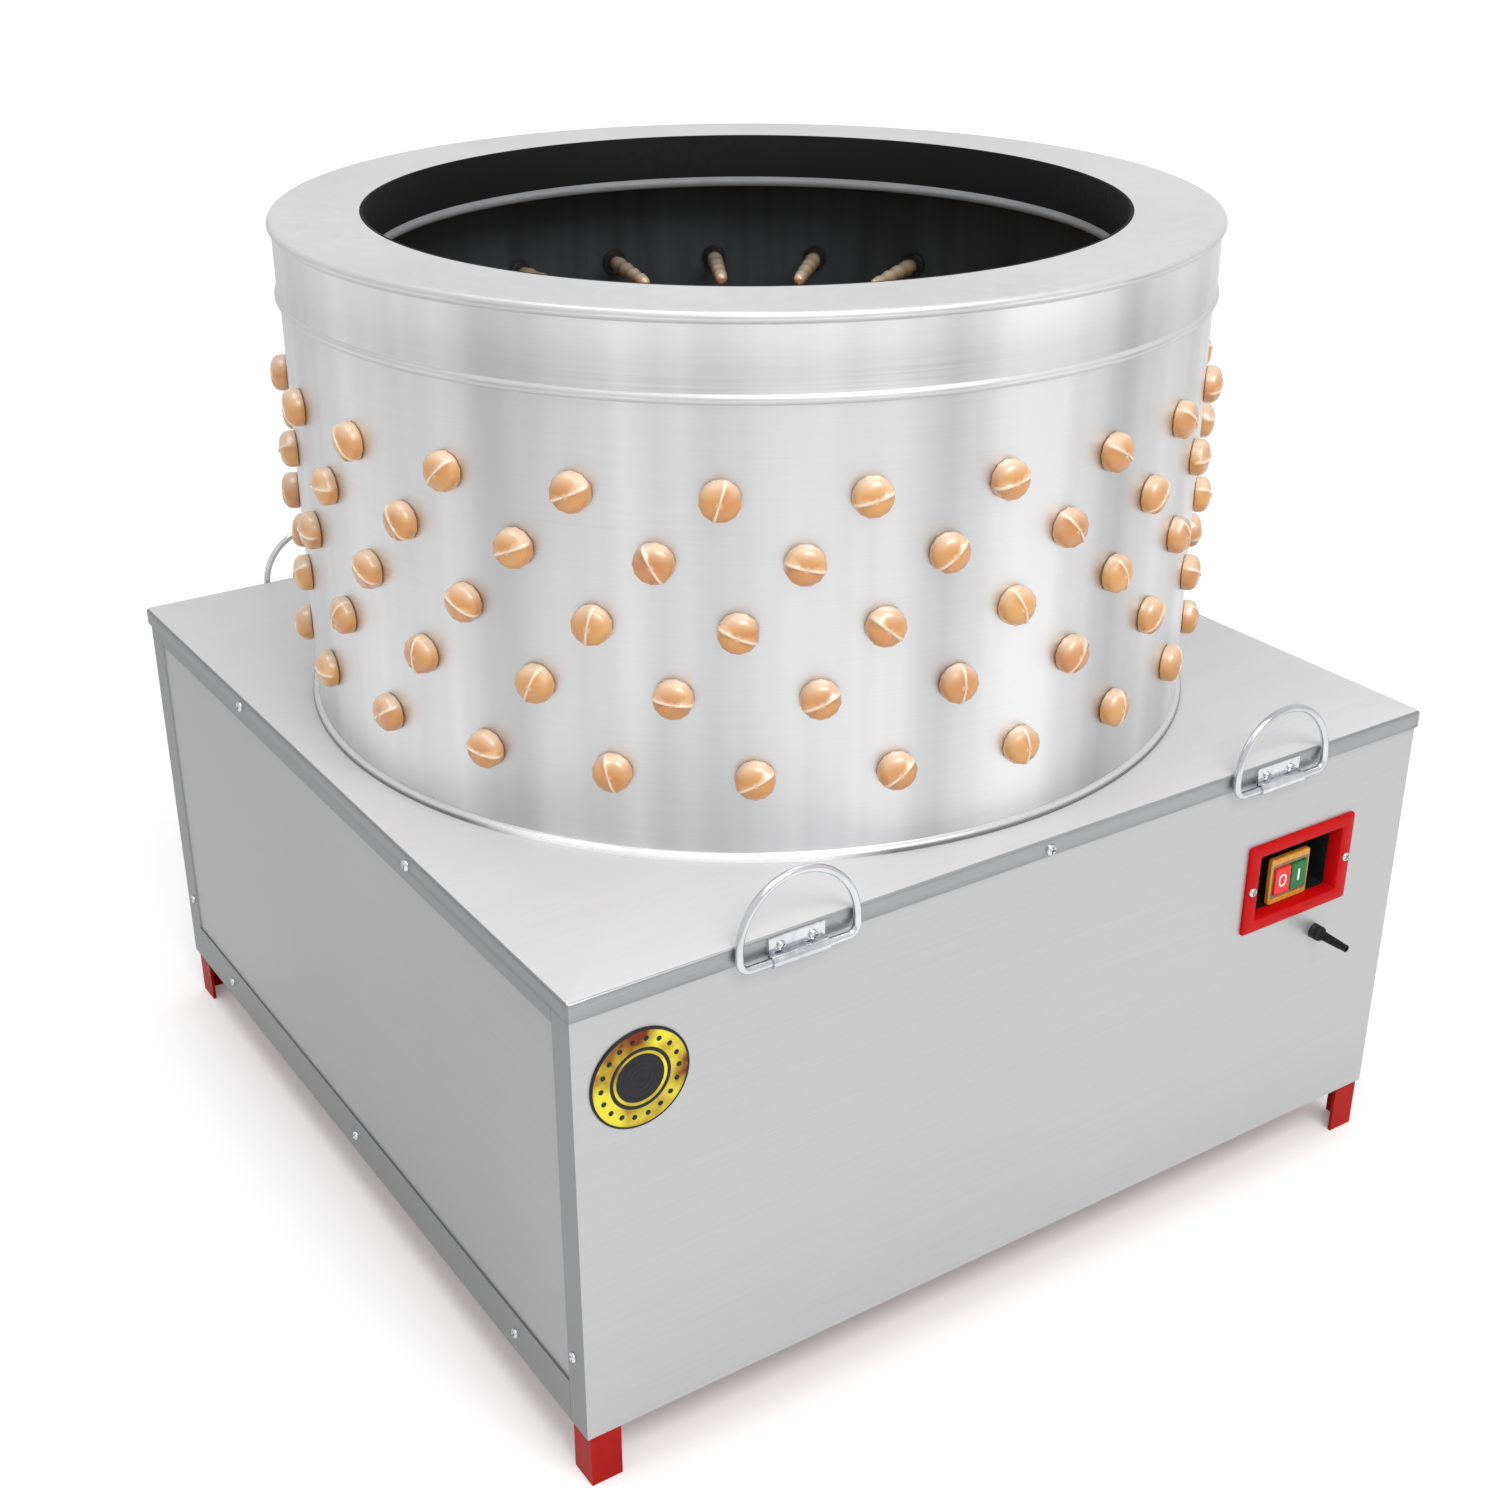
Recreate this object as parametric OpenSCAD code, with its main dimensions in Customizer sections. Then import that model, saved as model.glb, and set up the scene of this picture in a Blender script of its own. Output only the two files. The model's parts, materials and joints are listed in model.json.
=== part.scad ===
// Drum poultry plucker: square cabinet, upright finger-lined drum, spinning feather plate, belt drive.

/* [Cabinet] */
// Width and depth of the square deck
deck_w = 800; // [760:5:900]
// Height of the deck's top face above the floor
deck_z = 412; // [404:2:480]
// Height of the panels' lower edge above the floor
foot_h = 46; // [30:2:80]
// Thickness of the panel sheet
sheet = 1.5; // [1:0.1:2]
// Thickness of the deck sheet
deck_t = 2; // [1.5:0.1:3]
// Height of the deck's folded edge
deck_fold = 15; // [13:1:20]
// Width of the folded returns on the sides
return_w = 24; // [20:1:30]
// Height of the strip along the bottom of each side
strip_h = 36; // [28:1:44]
// Width of the angle used for legs and rails
angle_w = 25; // [22:1:28]
// Thickness of that angle
angle_t = 3; // [2.5:0.1:4]

/* [Drum] */
// Outer radius of the drum shell
drum_r = 366; // [340:1:370]
// Height of the top ring above the deck
drum_h = 392; // [370:2:450]
// Thickness of the drum shell
drum_t = 1.5; // [1:0.1:2]
// Thickness of the lining
liner_t = 2.5; // [2:0.1:4]
// Radius of the mouth
mouth_r = 298; // [270:1:310]
// Height of the top ring's outer skirt
skirt_h = 61; // [50:1:75]
// Depth of the dark collar in the mouth
collar_h = 46; // [40:1:60]

/* [Fingers] */
// Fingers in each row around the drum
row_n = 23; // [16:1:24]
// Turn of each row against the one above it, in degrees
row_turn = 6.93; // [0:0.01:15]
// Radius of a finger's head
head_r = 14.5; // [12:0.5:16]
// Height of a finger's head
head_h = 13; // [10:0.5:16]
// Radius of the groove that sits in the wall
neck_r = 10; // [8:0.5:11]
// Length of a finger inside the wall
finger_l = 100; // [80:1:108]

/* [Feather plate and drive] */
// Gap between the plate's edge and the lining
plate_gap = 18; // [12:1:24]
// Height of the plate's underside above the deck
plate_lift = 18; // [14:1:26]
// Thickness of the plate
plate_t = 4; // [3:0.1:6]
// Radius of the main shaft
shaft_r = 15; // [12:0.5:17]
// Pitch radius of the driven pulley
pulley_r = 150; // [120:1:160]
// Pitch radius of the motor pulley
motor_pulley_r = 30; // [28:1:40]
// Distance of the motor's axis from the drum's axis, along X and along Y
motor_off = 270; // [255:1:275]

/* [Switch and cable] */
// Width of the switch box's rim
box_w = 120; // [110:1:128]
// Height of the switch box's rim
box_h = 80; // [74:1:86]
// Sideways place of the switch box
box_x = 275; // [260:1:285]
// Depth of the switch box's middle below the deck
box_drop = 115; // [108:1:122]
// Travel of the buttons
press = 3; // [2:0.5:4]
// Sideways place of the cable gland
gland_x = 306; // [290:1:315]
// Depth of the cable gland below the deck
gland_drop = 180; // [172:1:190]
// Radius of the cable's bore
cable_r = 2.2; // [1.8:0.1:2.8]

/* [Handles] */
// Sideways place of the handles
handle_x = 229; // [190:1:240]
// Width of a handle between wire centres
handle_w = 96; // [84:1:104]
// Radius of the handle wire
wire_r = 3; // [2.5:0.1:3.5]

/* [Feather tray and chute] */
// Fall of the tray's floor, in degrees
tray_fall = 5.5; // [4:0.5:6.5]
// Inner width of the chute
chute_w = 356; // [260:2:370]
// Reach of the chute behind the cabinet
chute_out = 36; // [30:1:45]

/* [Hidden] */
$fn = 96;
big = 1200;
cut = 1;
// Clearances: sheet to sheet, moving pieces, running fits, screws in their holes
seat_gap = 0.3;
free_gap = 0.4;
run_gap = 0.05;
screw_gap = 0.1;

// Cabinet: the deck keeps a ledge beside the drum, however wide the drum is
ledge = 30;
half = max(deck_w / 2, drum_r + ledge);
body = half - deck_t - 0.5;
in_y = body - sheet;
in_x = body - 2 * sheet;
under = deck_z - deck_t;
screw_r = 2;
deck_screw_z = deck_z - 9.5;
deck_screw_y = 163;
strip_screw_y = 290;

// Drum
drum_top = deck_z + drum_h;
ring_t = 2;
liner_r = drum_r - drum_t - seat_gap;
inner_r = liner_r - liner_t;
skirt_t = 1.5;
skirt_r = drum_r + seat_gap + skirt_t;
lip_r = 4;
lip_out = 3;
bead_r = 4;
bead_out = 2;
collar_t = 2.5;
hole_r = inner_r - 3;

// Fingers: height of each row above the deck and the first row's start angle
row_h = [268, 223, 175, 125, 65];
row_start = 186.9;
grip = drum_r - inner_r;
root_r = 11.5;
root_l = 4;
shank_r = 7.5;
tip_r = 5.5;
rib = 0.8;
head_side = 4;
ribs = 4;

// Feather plate
plate_z = deck_z + plate_lift;
plate_top = plate_z + plate_t;
plate_r = inner_r - plate_gap;
// Rings of plate fingers, evenly set from clear of the wall fingers' tips to clear of the hub
tip_gap = 21;
hub_gap = 10.2;
hub_r = 60;
ring_out = inner_r - finger_l - tip_gap;
ring_in = hub_r + head_r + hub_gap;
ring_r = [ring_out, (ring_out + ring_in) / 2, ring_in];
ring_n = [18, 12, 7];
hub_t = 8;
hub_bolt_r = 44;
boss_r = shaft_r + 10;
skirt_in = boss_r + 2.5;
stud_r = 8;

// Drive heights
rail_z = 172;
upper_rail_z = 280;
bar_t = 8;
bar_w = 60;
housing_h = 34;
insert_r = shaft_r + 9;
belt_z = rail_z - 34;
bearing_bolt_x = 46;
bolt_bore = 60;

// V-belt section
belt_out = 2;
belt_in = 6;
belt_half = 6.5;
belt_lap = 1.5;
vee = tan(18);
motor_x = -motor_off;
motor_y = -motor_off;
span = norm([motor_x, motor_y]);
toward = atan2(motor_y, motor_x);
wrap = acos((pulley_r - motor_pulley_r) / span);
run = sqrt(span * span - pow(pulley_r - motor_pulley_r, 2));

// Motor
motor_bar_t = 6;
motor_bar_w = 50;
motor_plate_t = 6;
motor_plate_w = 216;
motor_z = rail_z + motor_bar_t + motor_plate_t;
flange_t = 12;
flange_r = 95;
motor_bolt_r = 83;
frame_r = 68;
fin = 6;
fins = 24;
body_z = motor_z + flange_t;
body_h = 122;
shield_h = 6;
cowl_z = body_z + body_h + shield_h;
cowl_h = 40;
core_r = 40;
motor_shaft_r = 9.5;
term_lift = 30;
term_x = frame_r - 18;
term_l = 56;
term_w = 80;
term_h = 70;
term_t = 4;

// Switch
front = -body;
box_z = deck_z - box_drop;
rim_t = 3;
well_w = box_w - 26;
well_h = box_h - 22;
well_d = 45;
well_t = 2;
switch_w = 44;
switch_h = 42;
switch_drop = 7;
bezel_y = front + 7;
bezel_t = 4;
button_w = 17.5;
button_h = 24;
button_l = 10;
switch_back = front + well_d - well_t;
button_proud = 2;
button_x = button_w / 2 + 0.6;
box_screw_x = box_w / 2 - 6;
lead_r = 4;
lead_bend = 20;
lead_z = box_z - 8;

// Badge
badge_r = 38;
badge_rim = 4;
badge_t = 0.9;
badge_x = half - badge_r - 15;
badge_drop = 2 * badge_r;

// Cable gland
gland_z = deck_z - gland_drop;
gland_head = 6.5;
gland_r = 4.5;
boot_l = 32;
boot_r = cable_r + 0.9;

// Handles
knuckle_t = 1.5;
knuckle_r = wire_r + screw_gap + knuckle_t;
bar_y = half + knuckle_r;
bar_drop = 18;
bar_z = deck_z - bar_drop;
corner_r = 8;
lean = 2.5;
leg_l = 6;
clip_w = 46;
clip_top = 2;
handle_shift = 4;
clip_screw_x = 13;
function handle_at(i, x) = x * handle_x + (i == 0 ? handle_shift : x * handle_shift);

// Tray and chute
// The tray reaches out to the drum's wall and a lap beyond it at the back, or to the rails if they are nearer
side_gap = 3.5;
back_gap = 3;
tray_lap = 2;
tray_w = min(drum_r, in_x - angle_w - side_gap);
tray_t = 2;
tray_y = min(drum_r + tray_lap, in_y - angle_w - back_gap);
tray_knee = 120;
tray_z = under - 44;
outlet_w = chute_w / 2 + tray_t;
outlet_top = under - angle_w - 2;
chute_end = body + chute_out;
sleeve_r = shaft_r + 5;
function floor_z(y) = tray_z - y * tan(tray_fall);

// Points of an arc, from angle a0 to angle a1 in n steps
function arc(cx, cy, r, a0, a1, n) =
    [for (i = [0:n]) let (a = a0 + (a1 - a0) * i / n) [cx + r * cos(a), cy + r * sin(a)]];

module red() color([0.62, 0.1, 0.09]) children();
module steel() color([0.78, 0.79, 0.8]) children();
module dark() color([0.08, 0.08, 0.09]) children();
module tan_rubber() color([0.84, 0.58, 0.34]) children();
module grey() color([0.4, 0.44, 0.47]) children();
module bright() color([0.87, 0.88, 0.9]) children();

// A cylinder along Y, from y0 to y1
module along_y(r, y0, y1) translate([0, y1, 0]) rotate([90, 0, 0]) cylinder(r = r, h = y1 - y0);

// A tube standing on z0
module tube(r_out, r_in, z0, h) difference() {
    translate([0, 0, z0]) cylinder(r = r_out, h = h);
    translate([0, 0, z0 - cut]) cylinder(r = r_in, h = h + 2 * cut);
}

// A pan-head screw along -Y, head outwards, seated at y = 0
module screw(head, length) rotate([90, 0, 0]) rotate_extrude()
    polygon(concat([[0, -length], [screw_r, -length], [screw_r, 0], [head, 0], [head, 0.8]],
        arc(0, 0.8, head, 25, 90, 4) * [[1, 0], [0, 0.5]], [[0, 0.8]]));

// Faces the work to one side of the cabinet: 0 front, 1 right, 2 rear, 3 left
module side(i) rotate([0, 0, 90 * i]) children();

// Places of the screws, as seen on one face
module deck_screw_places() {
    for (i = [0, 2]) side(i) translate([0, -half, deck_screw_z]) children();
    for (i = [1, 3], y = [-1, 1]) side(i) translate([y * deck_screw_y, -half, deck_screw_z]) children();
}
module strip_screw_places() for (i = [1, 3]) {
    for (y = [-1, 0, 1]) side(i) translate([y * strip_screw_y, -body, foot_h + strip_h / 2]) children();
    for (y = [-1, 1]) side(i)
        translate([y * (body - return_w * 0.66), -body, foot_h + 65]) children();
}
module deck_screw_holes() deck_screw_places() along_y(screw_r + screw_gap, -cut, 12);
module strip_screw_holes() strip_screw_places() along_y(screw_r + screw_gap, -cut, 12);

// Frame
module frame_legs() red() difference() {
    for (x = [-1, 1], y = [-1, 1]) linear_extrude(under) polygon([
        [x * in_x, y * in_y], [x * (in_x - angle_w), y * in_y], [x * (in_x - angle_w), y * (in_y - angle_t)],
        [x * (in_x - angle_t), y * (in_y - angle_t)], [x * (in_x - angle_t), y * (in_y - angle_w)],
        [x * in_x, y * (in_y - angle_w)]]);
    strip_screw_holes();
}

// An angle along X, outer face at y = 0; its flat flange is at z = 0, above the web if top is 1
module angle_rail(length, top) rotate([90, 0, 90]) linear_extrude(length, center = true) {
    s = top == 1 ? -1 : 1;
    polygon([[0, 0], [angle_w, 0], [angle_w, s * angle_t], [angle_t, s * angle_t], [angle_t, s * angle_w],
        [0, s * angle_w]]);
}
module rail_ring(z, top) {
    for (i = [0, 2]) side(i) translate([0, -in_y, z]) angle_rail(2 * (in_x - angle_w), top);
    side_pair(z, top);
}
module side_pair(z, top)
    for (i = [1, 3]) side(i) translate([0, -in_x, z]) angle_rail(2 * (in_y - angle_w), top);
module top_rails() red() difference() {
    rail_ring(under, 1);
    deck_screw_holes();
    handle_screw_places() along_y(screw_r + screw_gap, -cut, 12);
}
module base_rails() red() difference() {
    rail_ring(foot_h, 0);
    strip_screw_holes();
}
module side_rails() red() {
    side_pair(rail_z, 1);
    side_pair(upper_rail_z, 1);
}
module bar(y, z, w, t) translate([1 - in_x, y - w / 2, z]) cube([2 * in_x - 2, w, t]);
module cross_bars() red() difference() {
    union() {
        bar(0, rail_z, bar_w, bar_t);
        bar(0, upper_rail_z, bar_w, bar_t);
        for (y = [-1, 1]) bar(motor_y + y * motor_bolt_r * 0.7071, rail_z, motor_bar_w, motor_bar_t);
    }
    tube(shaft_r + 3, 0, foot_h, deck_z);
    bearing_bolt_places() cylinder(r = 5 + screw_gap, h = bolt_bore, center = true);
    motor_bolt_places() cylinder(r = 5 + screw_gap, h = bolt_bore, center = true);
}

// Deck and panels
module deck() steel() difference() {
    translate([-half, -half, deck_z - deck_fold]) cube([2 * half, 2 * half, deck_fold]);
    translate([deck_t - half, deck_t - half, deck_z - deck_fold - cut])
        cube([2 * (half - deck_t), 2 * (half - deck_t), deck_fold - deck_t + cut]);
    cylinder(r = hole_r, h = big);
    deck_screw_holes();
    handle_screw_places() along_y(screw_r + screw_gap, -cut, 12);
}
module wrap_panel() {
    panel_h = under - foot_h - 0.5;
    translate([-body, -body, foot_h]) cube([2 * body, sheet, panel_h]);
    for (x = [-body, body - sheet]) translate([x, -body, foot_h]) cube([sheet, return_w, panel_h]);
}
module front_panel() steel() difference() {
    wrap_panel();
    at_box(0) slab(well_w + 2 * well_t + 1, -half, 0, well_h + 2 * well_t + 1);
    at_gland() along_y(gland_r + 0.2, -half, 0);
    switch_screw_places() along_y(screw_r + screw_gap, -cut, 12);
    deck_screw_holes();
    strip_screw_holes();
    handle_screw_places() along_y(screw_r + screw_gap, -cut, 12);
}
module rear_panel() steel() difference() {
    side(2) wrap_panel();
    translate([-outlet_w - seat_gap, 0, floor_z(chute_end) - tray_t - seat_gap])
        cube([2 * (outlet_w + seat_gap), half, outlet_top - floor_z(chute_end) + tray_t + 2 * seat_gap]);
    deck_screw_holes();
    strip_screw_holes();
    handle_screw_places() along_y(screw_r + screw_gap, -cut, 12);
}
module inset_panel(i) steel() difference() {
    side(i) translate([0.5 - in_y, -in_y, foot_h + 0.5]) cube([2 * in_y - 1, sheet, under - foot_h - 1]);
    deck_screw_holes();
    strip_screw_holes();
}
module left_panel() inset_panel(3);
module right_panel() inset_panel(1);
module side_strips() steel() difference() {
    strip_l = 2 * (body - return_w - seat_gap);
    for (i = [1, 3]) side(i) {
        translate([-strip_l / 2, -body, foot_h]) cube([strip_l, sheet, strip_h]);
        translate([-strip_l / 2, -body, deck_z - 28]) cube([strip_l, sheet, 28 - deck_t - 0.5]);
    }
    deck_screw_holes();
    strip_screw_holes();
}
module panel_screws() bright() {
    deck_screw_places() screw(4.5, 9);
    strip_screw_places() screw(4, 7);
}
module badge() color([0.8, 0.62, 0.2]) translate([-badge_x, front, deck_z - badge_drop])
    rotate([90, 0, 0]) union() {
        cylinder(r = badge_r, h = badge_t);
        tube(badge_r, badge_r - badge_rim, badge_t / 2, badge_t);
    }

// Drum
module finger_holes(r) for (i = [0:4]) wall_places(i)
    translate([0, 0, drum_r - 15]) cylinder(r = r, h = 30, $fn = 32);
module wall_places(i) for (k = [0:row_n - 1])
    translate([0, 0, deck_z + row_h[i]])
        rotate([0, 90, row_start - i * row_turn + k * 360 / row_n]) children();
module drum_shell() steel() difference() {
    tube(drum_r, drum_r - drum_t, deck_z, drum_h - ring_t);
    finger_holes(neck_r);
}
module drum_base_hem() bright() translate([0, 0, deck_z]) rotate_extrude() polygon(concat(
    [[drum_r + 0.1, 0], [drum_r + 5, 0]], arc(drum_r + 0.1, 0.8, 4.9, 0, 90, 5)));
module drum_liner() dark() difference() {
    tube(liner_r, inner_r, deck_z, drum_h - ring_t - seat_gap);
    finger_holes(neck_r);
}
module top_ring() steel() translate([0, 0, drum_top]) rotate_extrude() polygon(concat(
    [[mouth_r + collar_t + seat_gap, 0]],
    arc(skirt_r + lip_out - lip_r, -lip_r, lip_r, 90, -70, 8),
    [[skirt_r, -2 * lip_r - 0.5], [skirt_r, 2 * bead_r - skirt_h]],
    arc(skirt_r + bead_out - bead_r, bead_r - skirt_h, bead_r, 55, -75, 7),
    [[skirt_r - skirt_t, -skirt_h], [skirt_r - skirt_t, -ring_t], [mouth_r + collar_t + seat_gap, -ring_t]]));
module mouth_collar() dark() translate([0, 0, drum_top]) rotate_extrude() polygon(concat(
    [[mouth_r, 0], [mouth_r + collar_t, 0], [mouth_r + collar_t, -ring_t], [mouth_r + 28, -ring_t],
    [mouth_r + 28, -ring_t - 2], [mouth_r + collar_t, -ring_t - 2]],
    arc(mouth_r + 3, 4.5 - collar_h, 4.5, 95, -180, 12),
    [[mouth_r - 1.5, 6 - collar_h], [mouth_r, 9 - collar_h]]));

// A rubber finger: head towards +Z, seated at z = 0, shank towards -Z, held in a wall of the given grip
module finger(wall) {
    dome = head_h - head_side;
    z_root = -wall - seat_gap;
    z_shank = z_root - root_l;
    z_tip = -wall - finger_l;
    pitch = (z_shank - z_tip - tip_r - 3) / ribs;
    rotate_extrude($fn = 32) polygon(concat(
        [[0, head_h]],
        [for (a = [70, 48, 26, 8]) [head_r * pow(cos(a), 0.8), head_side + dome * pow(sin(a), 0.8)]],
        [[head_r, head_side - 1], [head_r, 0.15], [neck_r - screw_gap, 0.15], [neck_r - screw_gap, z_root],
        [root_r, z_root], [root_r, z_shank]],
        [for (k = [0:ribs - 1], e = [0, 1]) let (z = z_shank - (k + e * 0.5 + 0.25) * pitch)
            [tip_r + (shank_r - tip_r) * (z - z_tip) / (z_shank - z_tip) + (e == 0 ? -rib : rib) / 2, z]],
        arc(0, z_tip + tip_r, tip_r, 0, -90, 3)));
}
module wall_row(i) tan_rubber() wall_places(i) translate([0, 0, drum_r]) finger(grip);

// Feather plate
module plate_finger_places() for (j = [0:2], k = [0:ring_n[j] - 1])
    rotate([0, 0, (k + j / 3) * 360 / ring_n[j]]) translate([ring_r[j], 0, 0]) children();
module hub_bolt_places() for (k = [0:3]) rotate([0, 0, 45 + 90 * k]) translate([hub_bolt_r, 0, 0]) children();
module feather_plate() steel() difference() {
    translate([0, 0, plate_z]) cylinder(r = plate_r, h = plate_t);
    plate_finger_places() cylinder(r = neck_r, h = big, $fn = 32);
    hub_bolt_places() cylinder(r = 4 + screw_gap, h = big);
    cylinder(r = stud_r + screw_gap, h = big);
}
module plate_fingers() tan_rubber() plate_finger_places()
    translate([0, 0, plate_z]) rotate([180, 0, 0]) finger(plate_t);
module plate_hub() grey() difference() {
    union() {
        translate([0, 0, plate_z - hub_t]) cylinder(r = hub_r, h = hub_t);
        translate([0, 0, plate_z - hub_t - 20]) cylinder(r = boss_r, h = 21);
        tube(skirt_in + 3, skirt_in, plate_z - hub_t - 34, 35);
    }
    translate([0, 0, plate_z - 60]) cylinder(r = shaft_r + run_gap, h = 80);
    hub_bolt_places() cylinder(r = 4 + screw_gap, h = big);
}
module plate_bolts() bright() {
    hub_bolt_places() {
        translate([0, 0, plate_top]) cylinder(r = 7, h = 5);
        translate([0, 0, plate_z - hub_t - 7]) cylinder(r = 4, h = plate_t + hub_t + 8);
        tube(7, 4 + screw_gap, plate_z - hub_t - 6.5, 6.5);
    }
    translate([0, 0, plate_top]) difference() {
        union() {
            cylinder(r = 24, h = 3);
            cylinder(r = 13, h = 13, $fn = 6);
            intersection() {
                translate([0, 0, 10]) sphere(r = 12);
                translate([0, 0, 10]) cylinder(r = 20, h = 20);
            }
        }
        translate([0, 0, -cut]) cylinder(r = stud_r + screw_gap, h = 12 + cut);
    }
}
module main_shaft() bright() union() {
    translate([0, 0, belt_z - 28]) cylinder(r = shaft_r, h = plate_z - belt_z + 28);
    translate([0, 0, plate_z - cut]) cylinder(r = stud_r, h = plate_t + 11 + cut);
}

// Bearings on the cross bars
module bearing_levels() for (z = [rail_z + bar_t, upper_rail_z + bar_t]) translate([0, 0, z]) children();
module bearing_bolt_places() bearing_levels() for (x = [-1, 1])
    translate([x * bearing_bolt_x, 0, 0]) children();
module bearing_housings() grey() bearing_levels() difference() {
    union() {
        translate([-62, -27, 0]) cube([124, 54, 12]);
        cylinder(r = insert_r + 11, h = housing_h);
    }
    translate([0, 0, -cut]) cylinder(r = insert_r + seat_gap, h = housing_h + 2 * cut);
    for (x = [-1, 1]) translate([x * bearing_bolt_x, 0, -cut]) cylinder(r = 5 + screw_gap, h = 20);
}
module bearing_inserts() bright() bearing_levels() tube(insert_r, shaft_r + run_gap, 1, housing_h + 4);
module bearing_bolts() bright() bearing_bolt_places() union() {
    translate([0, 0, -bar_t - 12]) cylinder(r = 5, h = bar_t + 25);
    translate([0, 0, 12]) cylinder(r = 9, h = 7, $fn = 6);
    translate([0, 0, -bar_t - 8]) cylinder(r = 9, h = 8, $fn = 6);
}

// Belt drive
module sheave(pitch, bore, rim, web, hub) rotate_extrude() polygon([
    [bore, -hub], [bore + 9, -hub], [bore + 9, -web], [rim, -web], [rim, -11], [pitch + 4, -11],
    [pitch + 4, -belt_half - 2 * vee - seat_gap], [pitch - 9, 11 * vee - belt_half - seat_gap],
    [pitch - 9, belt_half - 11 * vee + seat_gap], [pitch + 4, belt_half + 2 * vee + seat_gap],
    [pitch + 4, 11], [rim, 11], [rim, web], [bore + 9, web], [bore + 9, hub], [bore, hub]]);
module driven_pulley() color([0.25, 0.26, 0.27]) translate([0, 0, belt_z]) difference() {
    sheave(pulley_r, shaft_r + run_gap, pulley_r - 22, 4, 18);
    for (k = [0:4]) rotate([0, 0, 72 * k]) translate([pulley_r * 0.52, 0, 0])
        cylinder(r = pulley_r * 0.19, h = 40, center = true);
}
module belt_section(e) polygon([
    [belt_out - e, e - belt_half], [belt_out - e, belt_half - e],
    [e - belt_in, belt_half - (belt_out + belt_in) * vee - e],
    [e - belt_in, (belt_out + belt_in) * vee - belt_half + e]]);
module belt_run(start) translate([pulley_r, start + belt_lap, 0]) rotate([90, 0, 0])
    linear_extrude(run + 2 * belt_lap) belt_section(0.05);
module drive_belt() dark() translate([0, 0, belt_z]) union() {
    rotate([0, 0, toward + wrap]) rotate_extrude(angle = 360 - 2 * wrap)
        translate([pulley_r, 0]) belt_section(0);
    translate([motor_x, motor_y, 0]) rotate([0, 0, toward - wrap]) rotate_extrude(angle = 2 * wrap)
        translate([motor_pulley_r, 0]) belt_section(0);
    rotate([0, 0, toward + wrap]) belt_run(0);
    rotate([0, 0, toward - wrap]) belt_run(run);
}

// Motor
module at_motor(z) translate([motor_x, motor_y, z]) children();
module motor_bolt_places() for (k = [0:3]) at_motor(motor_z) rotate([0, 0, 45 + 90 * k])
    translate([motor_bolt_r, 0, 0]) children();
module motor_plate() red() difference() {
    translate([motor_x - motor_plate_w / 2, motor_y - motor_plate_w / 2, motor_z - motor_plate_t])
        cube([motor_plate_w, motor_plate_w, motor_plate_t]);
    at_motor(0) cylinder(r = 50 + seat_gap, h = big);
    motor_bolt_places() cylinder(r = 5 + screw_gap, h = bolt_bore, center = true);
}
module motor_flange() grey() difference() {
    union() {
        at_motor(motor_z) cylinder(r = flange_r, h = flange_t);
        at_motor(motor_z - motor_plate_t) cylinder(r = 50, h = motor_plate_t + cut);
    }
    at_motor(0) cylinder(r = motor_shaft_r + seat_gap, h = big);
    motor_bolt_places() cylinder(r = 5 + screw_gap, h = bolt_bore, center = true);
}
module motor_body() grey() at_motor(body_z) linear_extrude(body_h) difference() {
    union() {
        circle(r = frame_r);
        for (k = [3:fins - 3]) rotate(k * 360 / fins) translate([frame_r - 2, -1.5]) square([fin + 2, 3]);
    }
    circle(r = core_r + 1);
}
module motor_end_shield() grey() at_motor(0)
    tube(frame_r, motor_shaft_r + seat_gap, body_z + body_h, shield_h);
module motor_fan_cowl() dark() at_motor(cowl_z) difference() {
    cylinder(r = frame_r, h = cowl_h);
    translate([0, 0, -cut]) cylinder(r = frame_r - 1.5, h = cowl_h - 1.5 + cut);
    for (k = [0:11]) rotate([0, 0, 30 * k]) translate([20, -3, 0]) cube([34, 6, cowl_h + cut]);
}
module motor_fan() dark() at_motor(cowl_z + 8) difference() {
    union() {
        cylinder(r = 20, h = 18);
        cylinder(r = frame_r - 10, h = 2);
        for (k = [0:7]) rotate([0, 0, 45 * k]) translate([15, -1, 1]) cube([frame_r - 26, 2, 17]);
    }
    translate([0, 0, -cut]) cylinder(r = motor_shaft_r + run_gap, h = 40);
}
module motor_shaft() bright() at_motor(0) union() {
    translate([0, 0, belt_z - 24]) cylinder(r = motor_shaft_r, h = cowl_z + 27 - belt_z + 24);
    translate([0, 0, body_z + 10]) cylinder(r = core_r, h = body_h - 20);
}
module motor_pulley() color([0.25, 0.26, 0.27]) at_motor(belt_z)
    sheave(motor_pulley_r, motor_shaft_r + run_gap, motor_pulley_r - 10.5, 11, 20);
module terminal_box() grey() difference() {
    at_motor(body_z + term_lift) translate([term_x, -term_w / 2, 0]) cube([term_l, term_w, term_h]);
    at_motor(0) cylinder(r = frame_r + 0.1, h = big);
    at_motor(body_z + term_lift + term_t) translate([term_x + term_t, term_t - term_w / 2, 0])
        cube([term_l - 2 * term_t, term_w - 2 * term_t, term_h - 2 * term_t]);
    translate([motor_x + 90, switch_back + 2 * lead_bend, lead_z]) rotate([0, 90, 0])
        cylinder(r = lead_r + screw_gap, h = 40);
}
module motor_bolts() bright() motor_bolt_places() union() {
    low = rail_z - motor_z;
    translate([0, 0, low - 12]) cylinder(r = 5, h = flange_t - low + 13);
    translate([0, 0, flange_t]) cylinder(r = 8, h = 6, $fn = 6);
    translate([0, 0, low - 8]) cylinder(r = 8, h = 8, $fn = 6);
}
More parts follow.
